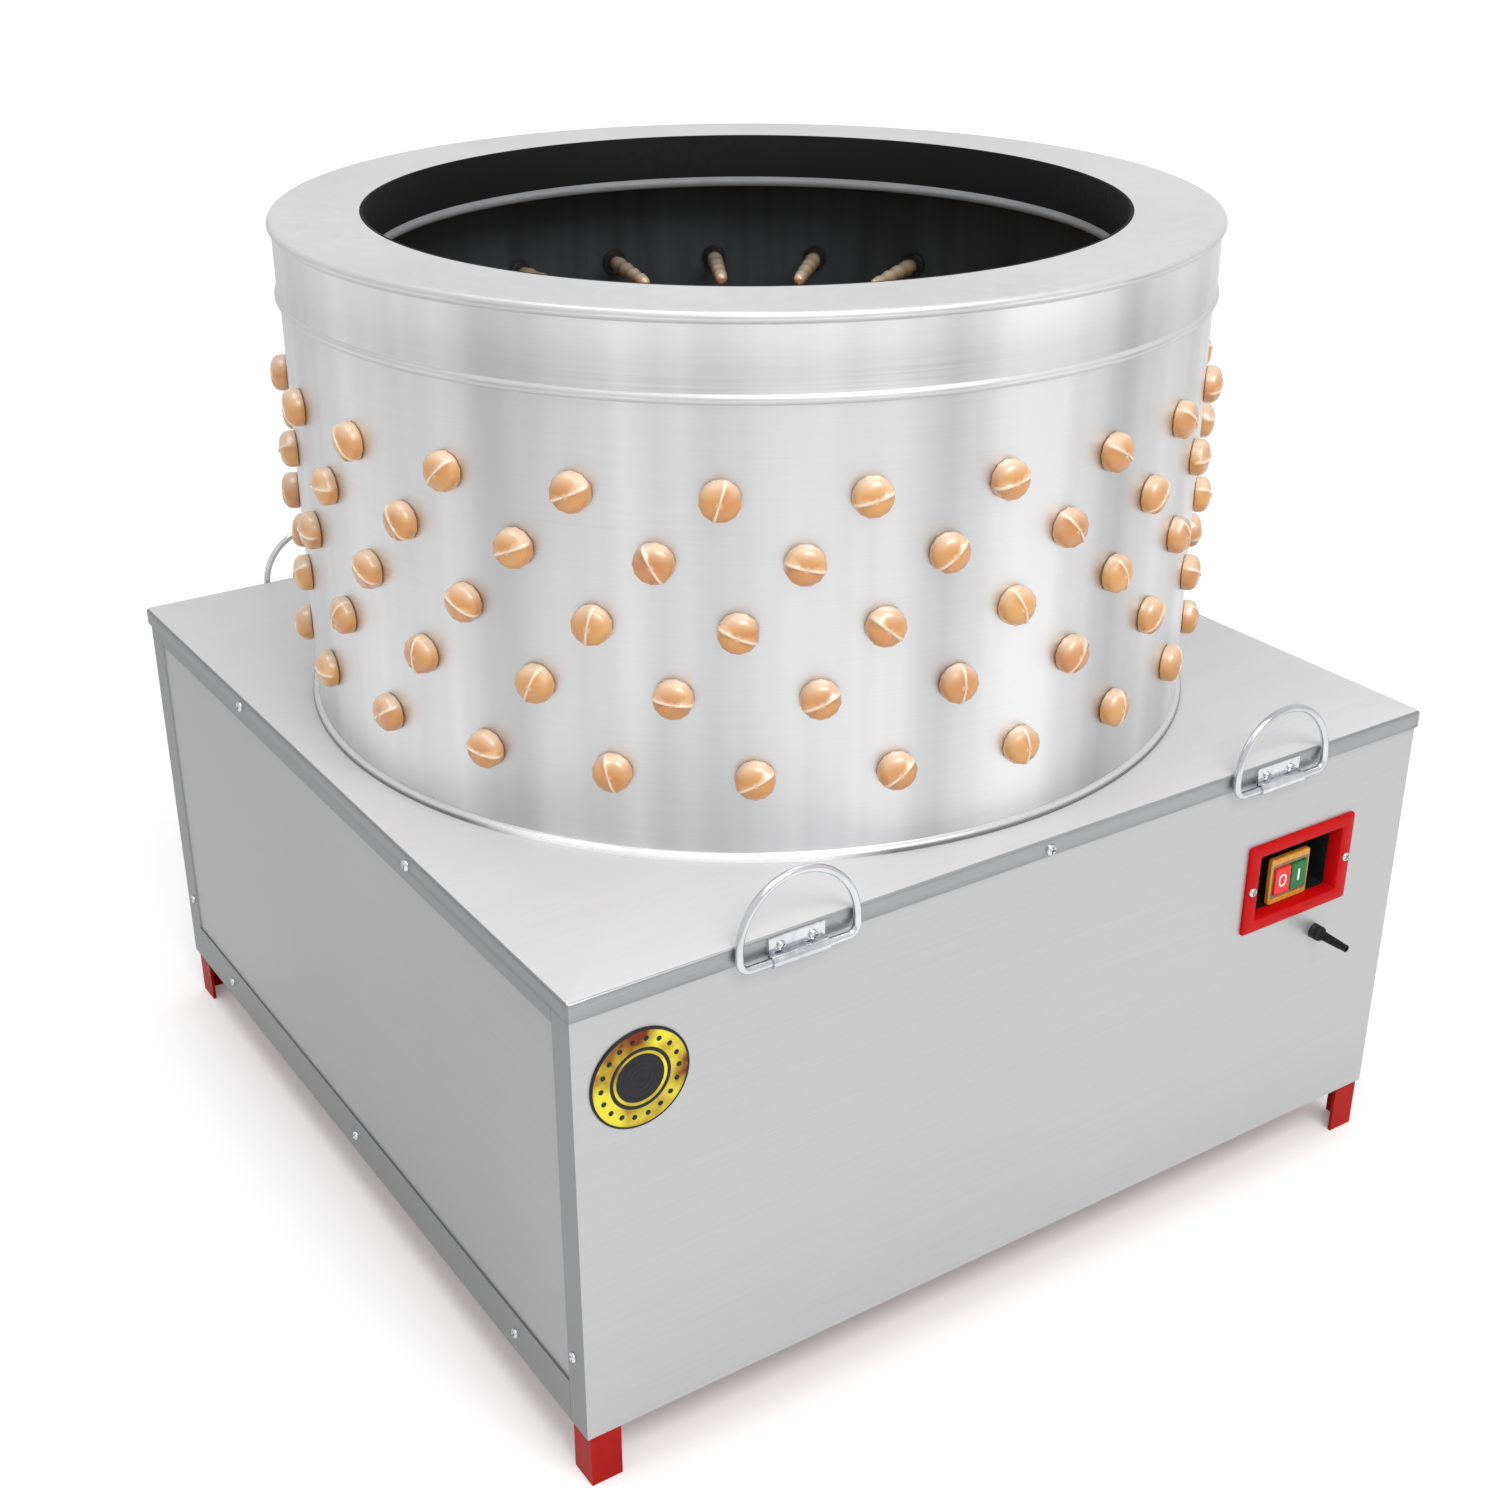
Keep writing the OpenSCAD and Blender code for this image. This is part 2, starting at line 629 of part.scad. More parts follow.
module motor_lead() dark() union() {
    translate([box_x, 0, lead_z]) along_y(lead_r, switch_back + well_t, switch_back + lead_bend);
    translate([box_x - lead_bend, switch_back + lead_bend, lead_z]) rotate_extrude(angle = 90)
        translate([lead_bend, 0]) circle(r = lead_r, $fn = 32);
    translate([motor_x + 96, switch_back + 2 * lead_bend, lead_z]) rotate([0, 90, 0])
        cylinder(r = lead_r, h = box_x - lead_bend - motor_x - 96);
}

// Switch
module at_box(y) translate([box_x, y, box_z]) children();
module at_switch(y) at_box(y) translate([0, 0, -switch_drop]) children();
module slab(w, y0, y1, h) translate([-w / 2, y0, -h / 2]) cube([w, y1 - y0, h]);
module switch_screw_places() for (x = [-1, 1]) at_box(front) translate([x * box_screw_x, 0, 0]) children();
module switch_box() red() at_box(0) difference() {
    union() {
        slab(box_w, front - rim_t, front, box_h);
        slab(well_w + 2 * well_t, front - cut, front + well_d, well_h + 2 * well_t);
    }
    slab(well_w, front - 2 * rim_t, front + well_d - well_t, well_h);
    for (x = [-1, 1]) translate([x * box_screw_x, 0, 0]) along_y(screw_r + screw_gap, front - 9, 0);
    translate([0, 0, lead_z - box_z]) along_y(lead_r + screw_gap, front, 0);
}
module button_pocket(x) translate([x, 0, 0]) slab(button_w + 2 * free_gap, bezel_y - cut,
    bezel_y - button_proud + button_l + press + free_gap, button_h + 2 * free_gap);
module switch_body() dark() at_switch(0) difference() {
    slab(switch_w - 4, bezel_y + bezel_t, switch_back, switch_h - 4);
    for (x = [-1, 1]) button_pocket(x * button_x);
}
module switch_bezel() color([0.85, 0.6, 0.12]) at_switch(0) difference() {
    slab(switch_w, bezel_y, bezel_y + bezel_t, switch_h);
    for (x = [-1, 1]) button_pocket(x * button_x);
}
module button(x) at_switch(bezel_y - button_proud)
    translate([x, 0, 0]) slab(button_w, 0, button_l, button_h);
module stop_button() color([0.8, 0.08, 0.07]) button(-button_x);
module start_button() color([0.1, 0.55, 0.2]) button(button_x);
module switch_screws() bright() switch_screw_places() translate([0, -rim_t, 0]) screw(4, 8);

// Cable gland and boot
module at_gland() translate([gland_x, 0, gland_z]) children();
module cable_gland() dark() at_gland() difference() {
    union() {
        along_y(gland_head, front - 4, front);
        along_y(gland_r, front - cut, front + 14);
        translate([0, front + sheet + 5, 0]) rotate([90, 0, 0]) cylinder(r = gland_r + 3.5, h = 5, $fn = 6);
    }
    along_y(cable_r, front - 10, front + 20);
}
module cable_boot() dark() at_gland() translate([0, front - 4, 0]) rotate([90, 0, 0])
    rotate_extrude() polygon(concat(
        [[cable_r, 0], [gland_head, 0]], arc(gland_head - 3, 3, 3, 0, 70, 4),
        [[boot_r + 0.9, 8], [boot_r + 0.6, 14], [boot_r, boot_l], [cable_r, boot_l]]));

// Handles
module handle_places() for (i = [0, 2], x = [-1, 1])
    side(i) translate([handle_at(i, x), 0, 0]) children();
module handle_screw_places() handle_places() for (x = [-1, 1])
    translate([x * clip_screw_x, -half, deck_screw_z]) children();
module handle_clips() bright() handle_places() difference() {
    union() {
        translate([-clip_w / 2, -half - knuckle_t, bar_z + 2])
            cube([clip_w, knuckle_t, deck_z - clip_top - bar_z - 2]);
        translate([-clip_w / 2, -bar_y, bar_z]) rotate([0, 90, 0]) cylinder(r = knuckle_r, h = clip_w);
    }
    translate([-clip_w, -bar_y, bar_z]) rotate([0, 90, 0]) cylinder(r = wire_r + screw_gap, h = 2 * clip_w);
    for (x = [-1, 1]) translate([x * clip_screw_x, -half, deck_screw_z]) along_y(screw_r + screw_gap, -9, 9);
}
module handle_screws() bright() handle_screw_places() translate([0, -knuckle_t, 0]) screw(3.6, 9);

// A D of round wire standing on its straight bar, which is along X at the origin
module wire_d() {
    a = handle_w / 2;
    rotate([0, 90, 0]) cylinder(r = wire_r, h = handle_w - 2 * corner_r, center = true, $fn = 32);
    for (x = [-1, 1]) {
        translate([x * (a - corner_r), 0, corner_r]) rotate([90, 0, 0]) rotate([0, 0, x == 1 ? -90 : 180])
            rotate_extrude(angle = 90) translate([corner_r, 0]) circle(r = wire_r, $fn = 32);
        translate([x * a, 0, corner_r]) cylinder(r = wire_r, h = leg_l, $fn = 32);
    }
    translate([0, 0, corner_r + leg_l]) rotate([90, 0, 0])
        rotate_extrude(angle = 180) translate([a, 0]) circle(r = wire_r, $fn = 32);
}
module handle(i, x) bright() side(i)
    translate([handle_at(i, x), -bar_y, bar_z]) rotate([-lean, 0, 0]) wire_d();
module handle_front_left() handle(0, -1);
module handle_front_right() handle(0, 1);
module handle_rear_left() handle(2, 1);
module handle_rear_right() handle(2, -1);

// Feather tray and chute
module tray_plan(inset) polygon([
    [inset - tray_w, inset - tray_w], [tray_w - inset, inset - tray_w], [tray_w - inset, tray_knee],
    [outlet_w - inset, tray_y - inset], [inset - outlet_w, tray_y - inset], [inset - tray_w, tray_knee]]);
module sloped(t) translate([0, 0, tray_z]) rotate([-tray_fall, 0, 0])
    translate([-half, -half, -tray_t]) cube([2 * half, 3 * half, t]);
module feather_tray() steel() difference() {
    union() {
        intersection() {
            translate([0, 0, foot_h]) linear_extrude(under - foot_h) tray_plan(0);
            sloped(tray_t);
        }
        intersection() {
            translate([0, 0, foot_h]) linear_extrude(under - foot_h) difference() {
                tray_plan(0);
                tray_plan(tray_t);
            }
            sloped(300);
        }
        intersection() {
            translate([0, 0, tray_z - 20]) cylinder(r = sleeve_r + 2.5, h = 52);
            sloped(300);
        }
    }
    translate([0, 0, tray_z - 30]) cylinder(r = sleeve_r, h = 90);
    intersection() {
        translate([-chute_w / 2, tray_y - 3 * tray_t, 0]) cube([chute_w, 20, outlet_top - tray_t]);
        translate([0, 0, tray_t / cos(tray_fall)]) sloped(300);
    }
}
module feather_chute() steel() {
    y0 = tray_y + seat_gap;
    low = floor_z(chute_end) - tray_t;
    difference() {
        translate([-outlet_w, y0, low]) cube([2 * outlet_w, chute_end - y0, outlet_top - low]);
        intersection() {
            translate([-chute_w / 2, y0 - cut, low - cut])
                cube([chute_w, chute_end - y0 + 2 * cut, outlet_top - low - tray_t + cut]);
            translate([0, 0, tray_t / cos(tray_fall)]) sloped(300);
        }
        difference() {
            translate([-outlet_w - cut, y0 - cut, low - 20]) cube([2 * outlet_w + 2 * cut, half, 100]);
            sloped(300);
        }
        translate([-chute_w / 2, body + 4, low - cut]) cube([chute_w, half, outlet_top]);
    }
    intersection() {
        translate([-chute_w / 2 - cut, body, low - 10]) cube([chute_w + 2 * cut, chute_out, 60]);
        sloped(tray_t);
    }
}

frame_legs();
top_rails();
base_rails();
side_rails();
cross_bars();
motor_plate();
deck();
front_panel();
rear_panel();
left_panel();
right_panel();
side_strips();
panel_screws();
drum_shell();
drum_base_hem();
drum_liner();
top_ring();
mouth_collar();
wall_row(0);  // wall_fingers_row_1
wall_row(1);  // wall_fingers_row_2
wall_row(2);  // wall_fingers_row_3
wall_row(3);  // wall_fingers_row_4
wall_row(4);  // wall_fingers_row_5
feather_plate();
plate_fingers();
plate_hub();
plate_bolts();
main_shaft();
bearing_inserts();
bearing_housings();
bearing_bolts();
driven_pulley();
drive_belt();
motor_body();
motor_flange();
motor_end_shield();
motor_fan_cowl();
motor_fan();
motor_shaft();
motor_pulley();
terminal_box();
motor_bolts();
motor_lead();
switch_box();
switch_body();
switch_bezel();
stop_button();
start_button();
switch_screws();
cable_gland();
cable_boot();
handle_clips();
handle_screws();
handle_front_left();
handle_front_right();
handle_rear_left();
handle_rear_right();
feather_tray();
feather_chute();
badge();
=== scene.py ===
import json
import math

import bmesh
import bpy
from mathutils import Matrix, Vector


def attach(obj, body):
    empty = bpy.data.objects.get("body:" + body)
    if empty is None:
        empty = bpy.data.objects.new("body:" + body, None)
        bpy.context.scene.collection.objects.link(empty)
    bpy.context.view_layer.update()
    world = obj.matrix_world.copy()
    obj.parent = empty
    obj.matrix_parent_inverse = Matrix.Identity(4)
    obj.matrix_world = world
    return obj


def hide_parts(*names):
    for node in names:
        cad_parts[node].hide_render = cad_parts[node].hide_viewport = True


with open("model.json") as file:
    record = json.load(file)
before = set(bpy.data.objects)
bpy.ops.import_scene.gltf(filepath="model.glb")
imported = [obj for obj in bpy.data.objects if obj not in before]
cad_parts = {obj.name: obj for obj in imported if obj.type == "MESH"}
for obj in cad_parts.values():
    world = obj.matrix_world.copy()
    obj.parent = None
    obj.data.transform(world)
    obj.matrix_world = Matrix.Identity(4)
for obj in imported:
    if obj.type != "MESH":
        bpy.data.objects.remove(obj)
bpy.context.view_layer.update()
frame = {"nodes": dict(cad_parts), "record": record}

# Photographer's set: the camera stands where the photograph was taken, one soft box hangs over the front
# and one over the top in an evenly lit room, and the object stands on a wide pale floor.
scene = bpy.context.scene
scene.view_settings.view_transform = "Standard"
camera = bpy.data.objects.new("camera", bpy.data.cameras.new("camera"))
camera.data.lens = 48.83
camera.data.sensor_width = 36.0
camera.location = (-0.89797, -1.36067, 1.11257)
camera.rotation_euler = (math.radians(64.1), 0.0, math.radians(-33.51))
scene.collection.objects.link(camera)
scene.camera = camera


def soft_box(name, place, target, width, height, watts):
    """A broad soft lamp that hangs at a place and is turned to its target."""
    lamp = bpy.data.objects.new(name, bpy.data.lights.new(name, "AREA"))
    lamp.data.shape = "RECTANGLE"
    lamp.data.size = width
    lamp.data.size_y = height
    lamp.data.energy = watts
    lamp.location = place
    aim = Vector(target) - Vector(place)
    lamp.rotation_euler = aim.to_track_quat("-Z", "Y").to_euler()
    scene.collection.objects.link(lamp)


soft_box("key_box", (-0.2, -2.3, 2.9), (0.0, 0.0, 0.5), 1.9, 1.4, 62.0)
soft_box("top_box", (-0.6, 0.1, 3.2), (0.0, 0.0, 0.6), 1.4, 1.4, 22.0)


def set_up(node, **values):
    """Sets a node's inputs by name, with an underscore for a blank."""
    for socket, value in values.items():
        node.inputs[socket.replace("_", " ")].default_value = value
    return node


studio = bpy.data.worlds.new("studio")
studio.use_nodes = True
set_up(studio.node_tree.nodes["Background"], Color=(1.0, 1.0, 1.0, 1.0), Strength=0.8)
scene.world = studio

floor_half = 30.0
floor_gap = 0.0006
floor_corners = [(x * floor_half, y * floor_half, 0.0) for x, y in ((-1, -1), (1, -1), (1, 1), (-1, 1))]
floor_mesh = bpy.data.meshes.new("floor")
floor_mesh.from_pydata(floor_corners, [], [(0, 1, 2, 3)])
floor = bpy.data.objects.new("floor", floor_mesh)
floor.location.z = -floor_gap
scene.collection.objects.link(floor)
pale = bpy.data.materials.new("pale_floor")
pale.use_nodes = True
pale_nodes = pale.node_tree.nodes
pale_link = pale.node_tree.links.new
pale_paint = set_up(pale_nodes["Principled BSDF"], Base_Color=(0.86, 0.86, 0.86, 1.0), Roughness=0.9)
pale_glow = pale_nodes.new("ShaderNodeEmission")
pale_place = pale_nodes.new("ShaderNodeTexCoord")
pale_away = pale_nodes.new("ShaderNodeVectorMath")
pale_away.operation = "LENGTH"
pale_fade = set_up(pale_nodes.new("ShaderNodeMapRange"), From_Min=0.6, From_Max=3.0, To_Min=0.14, To_Max=0.4)
pale_ray = pale_nodes.new("ShaderNodeLightPath")
pale_none = set_up(pale_nodes.new("ShaderNodeEmission"), Strength=0.0)
pale_pick = pale_nodes.new("ShaderNodeMixShader")
pale_sum = pale_nodes.new("ShaderNodeAddShader")
pale_link(pale_place.outputs["Object"], pale_away.inputs[0])
pale_link(pale_away.outputs["Value"], pale_fade.inputs["Value"])
pale_link(pale_fade.outputs["Result"], pale_glow.inputs["Strength"])
pale_link(pale_ray.outputs["Is Camera Ray"], pale_pick.inputs["Fac"])
pale_link(pale_none.outputs["Emission"], pale_pick.inputs[1])
pale_link(pale_glow.outputs["Emission"], pale_pick.inputs[2])
pale_link(pale_paint.outputs["BSDF"], pale_sum.inputs[0])
pale_link(pale_pick.outputs["Shader"], pale_sum.inputs[1])
pale_link(pale_sum.outputs["Shader"], pale_nodes["Material Output"].inputs["Surface"])
floor_mesh.materials.append(pale)

# Welded frame: four legs, rings of rails and flat cross bars of 25 mm angle and bar, sawn, welded and
# sprayed with gloss red paint. Only the feet show below the panels.
MM = 0.001


def tint(red, green, blue):
    """A colour as it is read off a picture, from 0 to 255, as the linear colour that a shader takes."""
    def linear(c):
        c = c / 255.0
        return c / 12.92 if c <= 0.04045 else ((c + 0.055) / 1.055) ** 2.4
    return (linear(red), linear(green), linear(blue), 1.0)


def surface(name, dark, light, rough, metal=0.0, grain=(60, 60, 60), patch=(5, 5, 5), mix=0.5, bump=0.1,
            span=(0.32, 0.68), **plain):
    """A finish with a fine grain, stretched as the tool left it, over broad soft patches of tone. A Mix
    node's sockets 2 and 3 take its two numbers, and 6 and 7 its two colours."""
    mat = bpy.data.materials.new(name)
    mat.use_nodes = True
    add = mat.node_tree.nodes.new
    link = mat.node_tree.links.new
    shader = set_up(mat.node_tree.nodes["Principled BSDF"], Metallic=metal, **plain)
    place = add("ShaderNodeTexCoord")
    stretch = set_up(add("ShaderNodeMapping"), Scale=grain)
    fine = set_up(add("ShaderNodeTexNoise"), Scale=1.0, Detail=5.0, Roughness=0.6)
    drift = set_up(add("ShaderNodeMapping"), Scale=patch)
    broad = set_up(add("ShaderNodeTexNoise"), Scale=1.0, Detail=3.0)
    both = set_up(add("ShaderNodeMix"), Factor=mix)
    spread = set_up(add("ShaderNodeMapRange"), From_Min=span[0], From_Max=span[1])
    tone = add("ShaderNodeMix")
    tone.data_type = "RGBA"
    tone.inputs[6].default_value = dark
    tone.inputs[7].default_value = light
    sheen = set_up(add("ShaderNodeMapRange"), From_Min=0.3, From_Max=0.7, To_Min=rough[0], To_Max=rough[1])
    relief = set_up(add("ShaderNodeBump"), Strength=bump, Distance=0.0004)
    link(place.outputs["Object"], stretch.inputs["Vector"])
    link(stretch.outputs["Vector"], fine.inputs["Vector"])
    link(place.outputs["Object"], drift.inputs["Vector"])
    link(drift.outputs["Vector"], broad.inputs["Vector"])
    link(fine.outputs["Fac"], both.inputs[2])
    link(broad.outputs["Fac"], both.inputs[3])
    link(both.outputs[0], spread.inputs["Value"])
    link(spread.outputs["Result"], tone.inputs[0])
    link(tone.outputs[2], shader.inputs["Base Color"])
    link(fine.outputs["Fac"], sheen.inputs["Value"])
    link(sheen.outputs["Result"], shader.inputs["Roughness"])
    link(fine.outputs["Fac"], relief.inputs["Height"])
    link(relief.outputs["Normal"], shader.inputs["Normal"])
    return mat


def soften(mesh, angle=33.0):
    """Smooth faces, kept crisp along every edge that turns by more than the angle."""
    work = bmesh.new()
    work.from_mesh(mesh)
    for face in work.faces:
        face.smooth = True
    for edge in work.edges:
        edge.smooth = edge.is_manifold and edge.calc_face_angle(0.0) < math.radians(angle)
    work.to_mesh(mesh)
    work.free()


homes = {}
for home, members in frame["record"]["behaviour"]["bodies"].items():
    for member in members:
        homes[member] = home


def stand_for(piece, *nodes):
    """The piece rides with the nodes that it stands for, and hides them."""
    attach(piece, homes[nodes[0]])
    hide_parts(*nodes)


def dress(node, material, edge=0.0):
    """The node's own solid, joined up, with its sharp edges broken by the given width."""
    joined = 2e-6
    flat = math.radians(0.4)
    sharp = math.radians(40)
    mesh = frame["nodes"][node].data.copy()
    work = bmesh.new()
    work.from_mesh(mesh)
    bmesh.ops.remove_doubles(work, verts=work.verts, dist=joined)
    bmesh.ops.dissolve_limit(work, angle_limit=flat, verts=work.verts, edges=work.edges)
    work.to_mesh(mesh)
    work.free()
    soften(mesh)
    mesh.materials.clear()
    mesh.materials.append(material)
    piece = bpy.data.objects.new(node + "_piece", mesh)
    scene.collection.objects.link(piece)
    if edge:
        broken = piece.modifiers.new("broken_edges", "BEVEL")
        broken.width = edge
        broken.segments = 2
        broken.limit_method = "ANGLE"
        broken.angle_limit = sharp
        broken.harden_normals = True
    stand_for(piece, node)
    return piece


red_paint = surface("red_paint", tint(144, 14, 8), tint(176, 26, 18), (0.3, 0.46), grain=(90, 90, 40),
                    patch=(14, 14, 14), bump=0.15, Specular_IOR_Level=0.08)
for node in ("frame_legs", "top_rails", "base_rails", "side_rails", "cross_bars", "motor_plate"):
    dress(node, red_paint, 0.7 * MM)

# Main drive: a turned shaft in two cast flange bearings on the cross bars, a spoked iron pulley at its
# foot and a moulded V-belt to the motor, all kept bare apart from the housings' grey paint.
turned_steel = surface("turned_steel", tint(150, 152, 156), tint(196, 198, 200), (0.2, 0.36), 1.0,
                       grain=(20, 20, 900), patch=(8, 8, 8), mix=0.35, bump=0.06)
cast_grey = surface("cast_grey", tint(96, 104, 110), tint(134, 142, 148), (0.5, 0.7), grain=(420, 420, 420),
                    patch=(18, 18, 18), bump=0.5)
pulley_iron = surface("pulley_iron", tint(52, 52, 56), tint(84, 84, 88), (0.4, 0.6), 0.6,
                      grain=(300, 300, 300), patch=(20, 20, 20), bump=0.4)
belt_rubber = surface("belt_rubber", tint(24, 24, 26), tint(44, 44, 46), (0.6, 0.8), grain=(160, 160, 1200),
                      patch=(30, 30, 30), bump=0.4)
plated = surface("plated", tint(190, 192, 196), tint(232, 233, 236), (0.12, 0.26), 1.0, grain=(140, 140, 140),
                 patch=(20, 20, 20), bump=0.05)
for node in ("main_shaft", "bearing_inserts"):
    dress(node, turned_steel, 0.5 * MM)
for node in ("bearing_housings", "plate_hub"):
    dress(node, cast_grey, 1.2 * MM)
for node in ("driven_pulley", "motor_pulley"):
    dress(node, pulley_iron, 0.8 * MM)
dress("drive_belt", belt_rubber)
for node in ("bearing_bolts", "motor_bolts", "plate_bolts"):
    dress(node, plated, 0.5 * MM)

# Motor: finned cast body hung shaft-down from its flange, pressed sheet cowl over a moulded fan, and a
# terminal box fed by a rubber lead from the switch. Sprayed blue-grey after assembly.
motor_paint = surface("motor_paint", tint(98, 112, 124), tint(126, 140, 152), (0.36, 0.55),
                      grain=(240, 240, 240), patch=(12, 12, 12), bump=0.3)
moulded_black = surface("moulded_black", tint(20, 20, 22), tint(38, 38, 40), (0.38, 0.55),
                        grain=(700, 700, 700), patch=(30, 30, 30), bump=0.2, Specular_IOR_Level=0.3)
for node in ("motor_body", "motor_flange", "motor_end_shield", "motor_fan_cowl", "terminal_box"):
    dress(node, motor_paint, 0.6 * MM)
dress("motor_fan", moulded_black, 0.4 * MM)
dress("motor_shaft", turned_steel, 0.5 * MM)
dress("motor_lead", belt_rubber)

# Feather tray and chute: folded stainless sheet, spot-welded, hung under the deck so that feathers and
# water run to the back. Left with the mill's dull brush along the fall.
tray_steel = surface("tray_steel", tint(176, 178, 180), tint(206, 207, 208), (0.34, 0.5), 1.0,
                     grain=(600, 4, 600), patch=(3, 3, 3), mix=0.4, bump=0.05)
for node in ("feather_tray", "feather_chute"):
    dress(node, tray_steel, 0.6 * MM)

# Cabinet panels: brushed stainless sheet. The front and rear wrap round the corners in narrow returns, and
# each side is an inset sheet framed by strips, whose brush runs the other way. The sides, the strips and
# the returns, all facing sideways, take darker tones than the front as painted shade, the strips darkest.
front_steel = surface("front_steel", tint(182, 182, 183), tint(194, 194, 195), (0.38, 0.48), 0.7,
                      grain=(5, 700, 700), patch=(1.6, 1.6, 1.6), mix=0.45, bump=0.05)
side_steel_painted_shade = surface("side_steel_painted_shade", tint(158, 158, 159), tint(176, 176, 177), (0.36, 0.46), 0.7,
                     grain=(700, 5, 700), patch=(1.6, 1.6, 1.6), mix=0.5, bump=0.05)
strip_steel_painted_shade = surface("strip_steel_painted_shade", tint(134, 135, 136), tint(150, 151, 152), (0.36, 0.48), 1.0,
                      grain=(700, 700, 6), patch=(2, 2, 2), mix=0.45, bump=0.05)
for node in ("front_panel", "rear_panel"):
    panel = dress(node, front_steel, 0.6 * MM)
    panel.data.materials.append(strip_steel_painted_shade)
    # The returns, facing sideways, take the strips' darker tone as painted shade.
    for face in panel.data.polygons:
        face.material_index = 1 if abs(face.normal.x) > 0.9 else 0
for node in ("left_panel", "right_panel"):
    dress(node, side_steel_painted_shade, 0.4 * MM)
dress("side_strips", strip_steel_painted_shade, 0.5 * MM)

# Deck: one sheet with a round hole for the drum, its four edges folded down over a small radius and the
# corners closed. Brushed from left to right.
deck_half = 400.0
deck_top = 412.0
deck_sheet = 2.0
deck_hole = 358.7
corner_radius = 3.0
fold_depth = 15.0
fold_radius = 2.5
fold_steps = 4
fold_break = 0.4
side_steps = 40


def square_ring(half, corner, z):
    """A square of points with rounded corners, as many on each side as on the rings it is joined to."""
    ring = []
    for turn in range(4):
        a = math.radians(90 * turn - 90)
        ux, uy = math.cos(a), math.sin(a)
        for i in range(side_steps):
            t = (half - corner) * (2.0 * i / (side_steps - 1) - 1.0)
            ring.append((ux * half - uy * t, uy * half + ux * t, z))
        for step in (30, 60):
            b = a + math.radians(step)
            cx = (half - corner) * (ux - uy)
            cy = (half - corner) * (uy + ux)
            ring.append((cx + corner * math.cos(b), cy + corner * math.sin(b), z))
    return ring


def round_ring(radius, like, z):
    """A circle of points in the directions of another ring's points."""
    return [(radius * x / math.hypot(x, y), radius * y / math.hypot(x, y), z) for x, y, _ in like]


def skin(name, rings, close=True, caps=False, angle=33.0):
    """Rings of points in millimetres, joined in order into one skin; the last joins the first if closed."""
    count = len(rings[0])
    points = [Vector(p) * MM for ring in rings for p in ring]
    faces = []
    for r in range(len(rings) if close else len(rings) - 1):
        low = r * count
        high = (r + 1) % len(rings) * count
        for i in range(count):
            j = (i + 1) % count
            faces.append((low + i, low + j, high + j, high + i))
    if caps:
        faces.append(tuple(reversed(range(count))))
        faces.append(tuple(range((len(rings) - 1) * count, len(rings) * count)))
    mesh = bpy.data.meshes.new(name)
    mesh.from_pydata(points, [], faces)
    work = bmesh.new()
    work.from_mesh(mesh)
    bmesh.ops.remove_doubles(work, verts=work.verts, dist=1e-6)
    bmesh.ops.recalc_face_normals(work, faces=work.faces)
    work.to_mesh(mesh)
    work.free()
    soften(mesh, angle)
    piece = bpy.data.objects.new(name, mesh)
    scene.collection.objects.link(piece)
    return piece


def lay(piece, *finishes):
    """Gives a piece its finishes, in the order that its faces count them."""
    for finish in finishes:
        piece.data.materials.append(finish)


deck_steel = surface("deck_steel", tint(195, 195, 196), tint(205, 205, 206), (0.5, 0.62), 0.2,
                     grain=(5, 700, 700), patch=(1.4, 1.4, 1.4), mix=0.45, bump=0.05)
fold_steel_painted_shade = surface("fold_steel_painted_shade", tint(156, 157, 158), tint(172, 173, 174), (0.34, 0.44), 1.0,
                     grain=(12, 12, 700), patch=(1.4, 1.4, 1.4), mix=0.45, bump=0.05)
deck_under = deck_top - deck_sheet
fold_foot = deck_top - fold_depth
edge_ring = square_ring(deck_half, corner_radius, 0.0)
deck_rings = [round_ring(deck_hole, edge_ring, z) for z in (deck_under, deck_top)]
for step in range(fold_steps + 1):
    turned = math.radians(90 - 90 / fold_steps * step)
    inset = fold_radius * (1 - math.cos(turned))
    drop = fold_radius * (1 - math.sin(turned))
    deck_rings.append(square_ring(deck_half - inset, corner_radius, deck_top - drop))
deck_rings.append(square_ring(deck_half, corner_radius, fold_foot + fold_break))
deck_rings.append(square_ring(deck_half - fold_break, corner_radius - fold_break, fold_foot))
for z in (fold_foot, deck_under):
    deck_rings.append(square_ring(deck_half - deck_sheet, corner_radius - deck_sheet, z))
deck = skin("deck_piece", deck_rings, angle=50.0)
lay(deck, deck_steel, fold_steel_painted_shade, strip_steel_painted_shade)
# The folded edges take darker tones than the deck's top as painted shade, the side folds darkest, in the
# strips' tone.
for face in deck.data.polygons:
    if abs(face.normal.z) < 0.9:
        face.material_index = 2 if abs(face.normal.x) > 0.6 else 1
stand_for(deck, "deck")

# Drum: a stainless sheet rolled into a tube with its seam at the back, and a folded hem where it stands on
# the deck, with a painted highlight on its side towards the camera and painted shade elsewhere, darkest
# at its foot as a painted contact shadow. The fingers' heads hide their holes.
drum_radius = 366.0
drum_sheet = 1.5
drum_head = 802.0
wall_levels = (500.0, 600.0, 700.0)
round_steps = 192


def lathe(name, outline, steps=round_steps, axis="z", centre=(0.0, 0.0, 0.0), angle=33.0):
    """A closed outline of (radius, height) pairs in millimetres, turned about Z, or about -Y."""
    rings = []
    for k in range(steps):
        a = 2 * math.pi * k / steps
        ring = []
        for radius, height in outline:
            x, y = radius * math.cos(a), radius * math.sin(a)
            if axis == "z":
                ring.append((centre[0] + x, centre[1] + y, centre[2] + height))
            else:
                ring.append((centre[0] + x, centre[1] - height, centre[2] + y))
        rings.append(ring)
    return skin(name, rings, angle=angle)


def bend(x, y, radius, start, end, steps):
    """Points of an arc, in degrees."""
    turns = [math.radians(start + (end - start) * i / steps) for i in range(steps + 1)]
    return [(x + radius * math.cos(t), y + radius * math.sin(t)) for t in turns]


